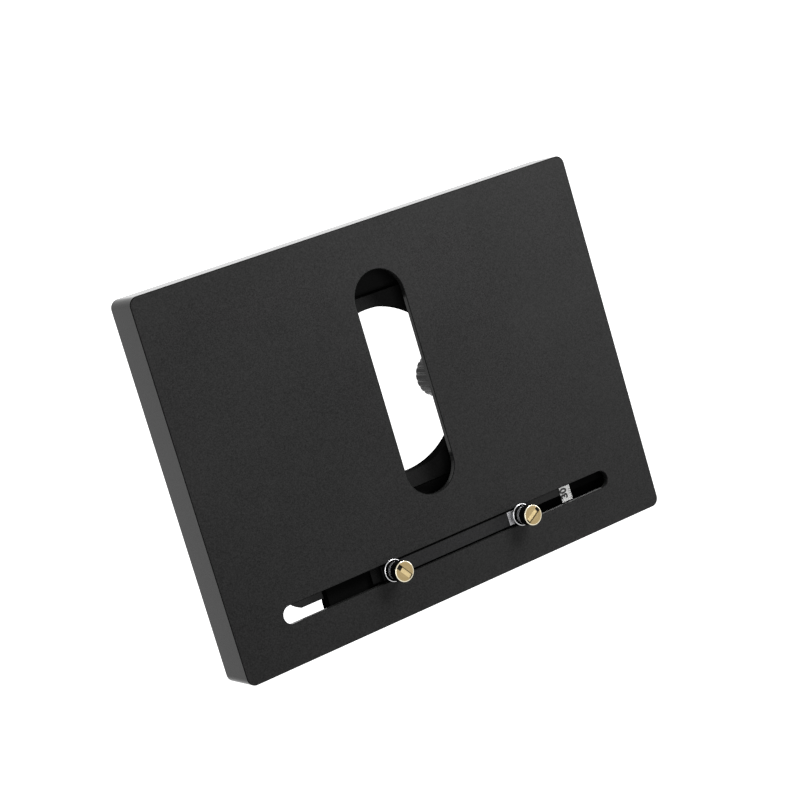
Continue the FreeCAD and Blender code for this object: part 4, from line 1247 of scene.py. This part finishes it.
@dataclass
class Carriage:
    """Carriage bar and blocks in the slot, with the bright ribbed block."""

    ribs: int = 4
    rib_depth: float = 0.3 * MM
    groove_share: float = 0.4
    edge: float = 0.1 * MM

    def build(self) -> None:
        """Make the ribbed block and dress the rest."""
        dress(["wire_clamp"], BLACK_METAL.build())
        # Painted shade: the bar's left end, up to the left post, is darkened much.
        painted_shade_left_end = (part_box("carriage_bar")[0].x - OVERRUN, middle("left_stud")[0])
        dress(["carriage_bar"], BLACK_METAL.build(painted_shade_span=painted_shade_left_end))
        # Painted shade: the carriage plate and post block are near black, as they lie in shade below the top
        # plate.
        dress(["carriage_plate", "post_block"], PAINTED_SHADE_BLACK.build())
        low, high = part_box("ribbed_block")
        shape = block(low, high, self.edge)
        piece = make_piece("ribbed_block_bright", shape, BLOCK_STEEL.build(), Body.CARRIAGE)
        pitch = (high.x - low.x) / self.ribs
        cutters = bmesh.new()
        for index in range(1, self.ribs):
            start = low.x + pitch * (index - self.groove_share / 2)
            corner = Vector((start + pitch * self.groove_share, high.y + OVERRUN, high.z + OVERRUN))
            join(cutters, block(Vector((start, low.y - OVERRUN, high.z - self.rib_depth)), corner))
        cut_with(piece, [cutters])
        smooth_piece(piece)
        stand_in(piece, "ribbed_block")


@dataclass
class Plates:
    """Upper and lower plates, their ways, cages and bracket."""

    def build(self) -> None:
        """Dress the plates and what is ground or turned between them."""
        dress(["top_plate"], BLACK_FACE.build())
        dress(["base_plate"], PLATE_BLACK.build())
        # Painted light and shade: the ledge is painted lighter, as lit, and much darker beyond the scale, as
        # in shade.
        painted_shade_beyond_scale = (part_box("scale_plate")[1].x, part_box("rear_x_way")[1].x)
        dress(["rear_x_way"], PAINTED_LIGHT_LEDGE_BLACK.build(painted_shade_span=painted_shade_beyond_scale))
        # Painted shade: the front way and cover strip deep in the slot are near black.
        dress(["front_x_way", "cover_strip"], PAINTED_SHADE_BLACK.build())
        dress(["handle_bracket"], BLACK_METAL.build())
        dress(["left_fixed_way", "right_fixed_way", "left_moving_way", "right_moving_way", "y_rack"],
              WAY_STEEL.build())
        dress(["left_ball_cage", "right_ball_cage"], CAGE_BRASS.build())
        dress(["bearing_balls"], BALL_STEEL.build())
        log.info("plates, ways and cages")


@dataclass
class Handle:
    """Coaxial drive handle with its two ribbed knobs."""

    lower_ribs: int = 20
    lower_bore: float = 2.05 * MM
    lower_bore_floor: float = 3.0 * MM
    upper_ribs: int = 28
    upper_bore: float = 3.5 * MM
    upper_neck: float = 3.0 * MM

    def build(self) -> None:
        """Make the knobs and dress the shafts, the pinion and the bushes."""
        RibbedKnob("x_knob", Body.X_HANDLE, self.lower_ribs, self.lower_bore,
                   bore_floor=self.lower_bore_floor).build()
        RibbedKnob("y_knob", Body.Y_HANDLE, self.upper_ribs, self.upper_bore,
                   neck_height=self.upper_neck).build()
        axis = middle("inner_shaft")
        dress(["inner_shaft", "sleeve_shaft", "sleeve_ring"], turned("shaft_steel", Tone.DRAWN, axis))
        dress(["upper_bush", "lower_bush", "y_pinion"], turned("bush_brass", Tone.BRASS, axis))
        dress(["x_knob_set_screw", "y_knob_set_screw"], SCREW_BLACK.build())
        log.info("handle shafts, pinion and bushes")


def main() -> None:
    """Build the studio and the object's sub-assemblies."""
    logging.basicConfig(level=logging.INFO, format="%(message)s")
    Studio().build()
    Plates().build()
    Carriage().build()
    ThumbScrew("left", Body.LEFT_THUMB, slot_angle=-53.0, shaded_ends=(0.3, 0.0)).build()
    ThumbScrew("right", Body.RIGHT_THUMB, slot_angle=30.0, shaded_ends=(0.1, 0.16)).build()
    Handle().build()
    WireDrive().build()
    Scale().build()
    for node, body in (("fixed_way_screws", Body.LOWER), ("rack_screws", Body.LOWER),
                       ("moving_way_screws", Body.UPPER), ("x_way_screws", Body.UPPER),
                       ("cover_strip_screws", Body.UPPER), ("bracket_screws", Body.UPPER),
                       ("bar_screws", Body.CARRIAGE), ("wire_clamp_screws", Body.CARRIAGE)):
        Screws(node, body).build()


if __name__ == "__main__":
    main()
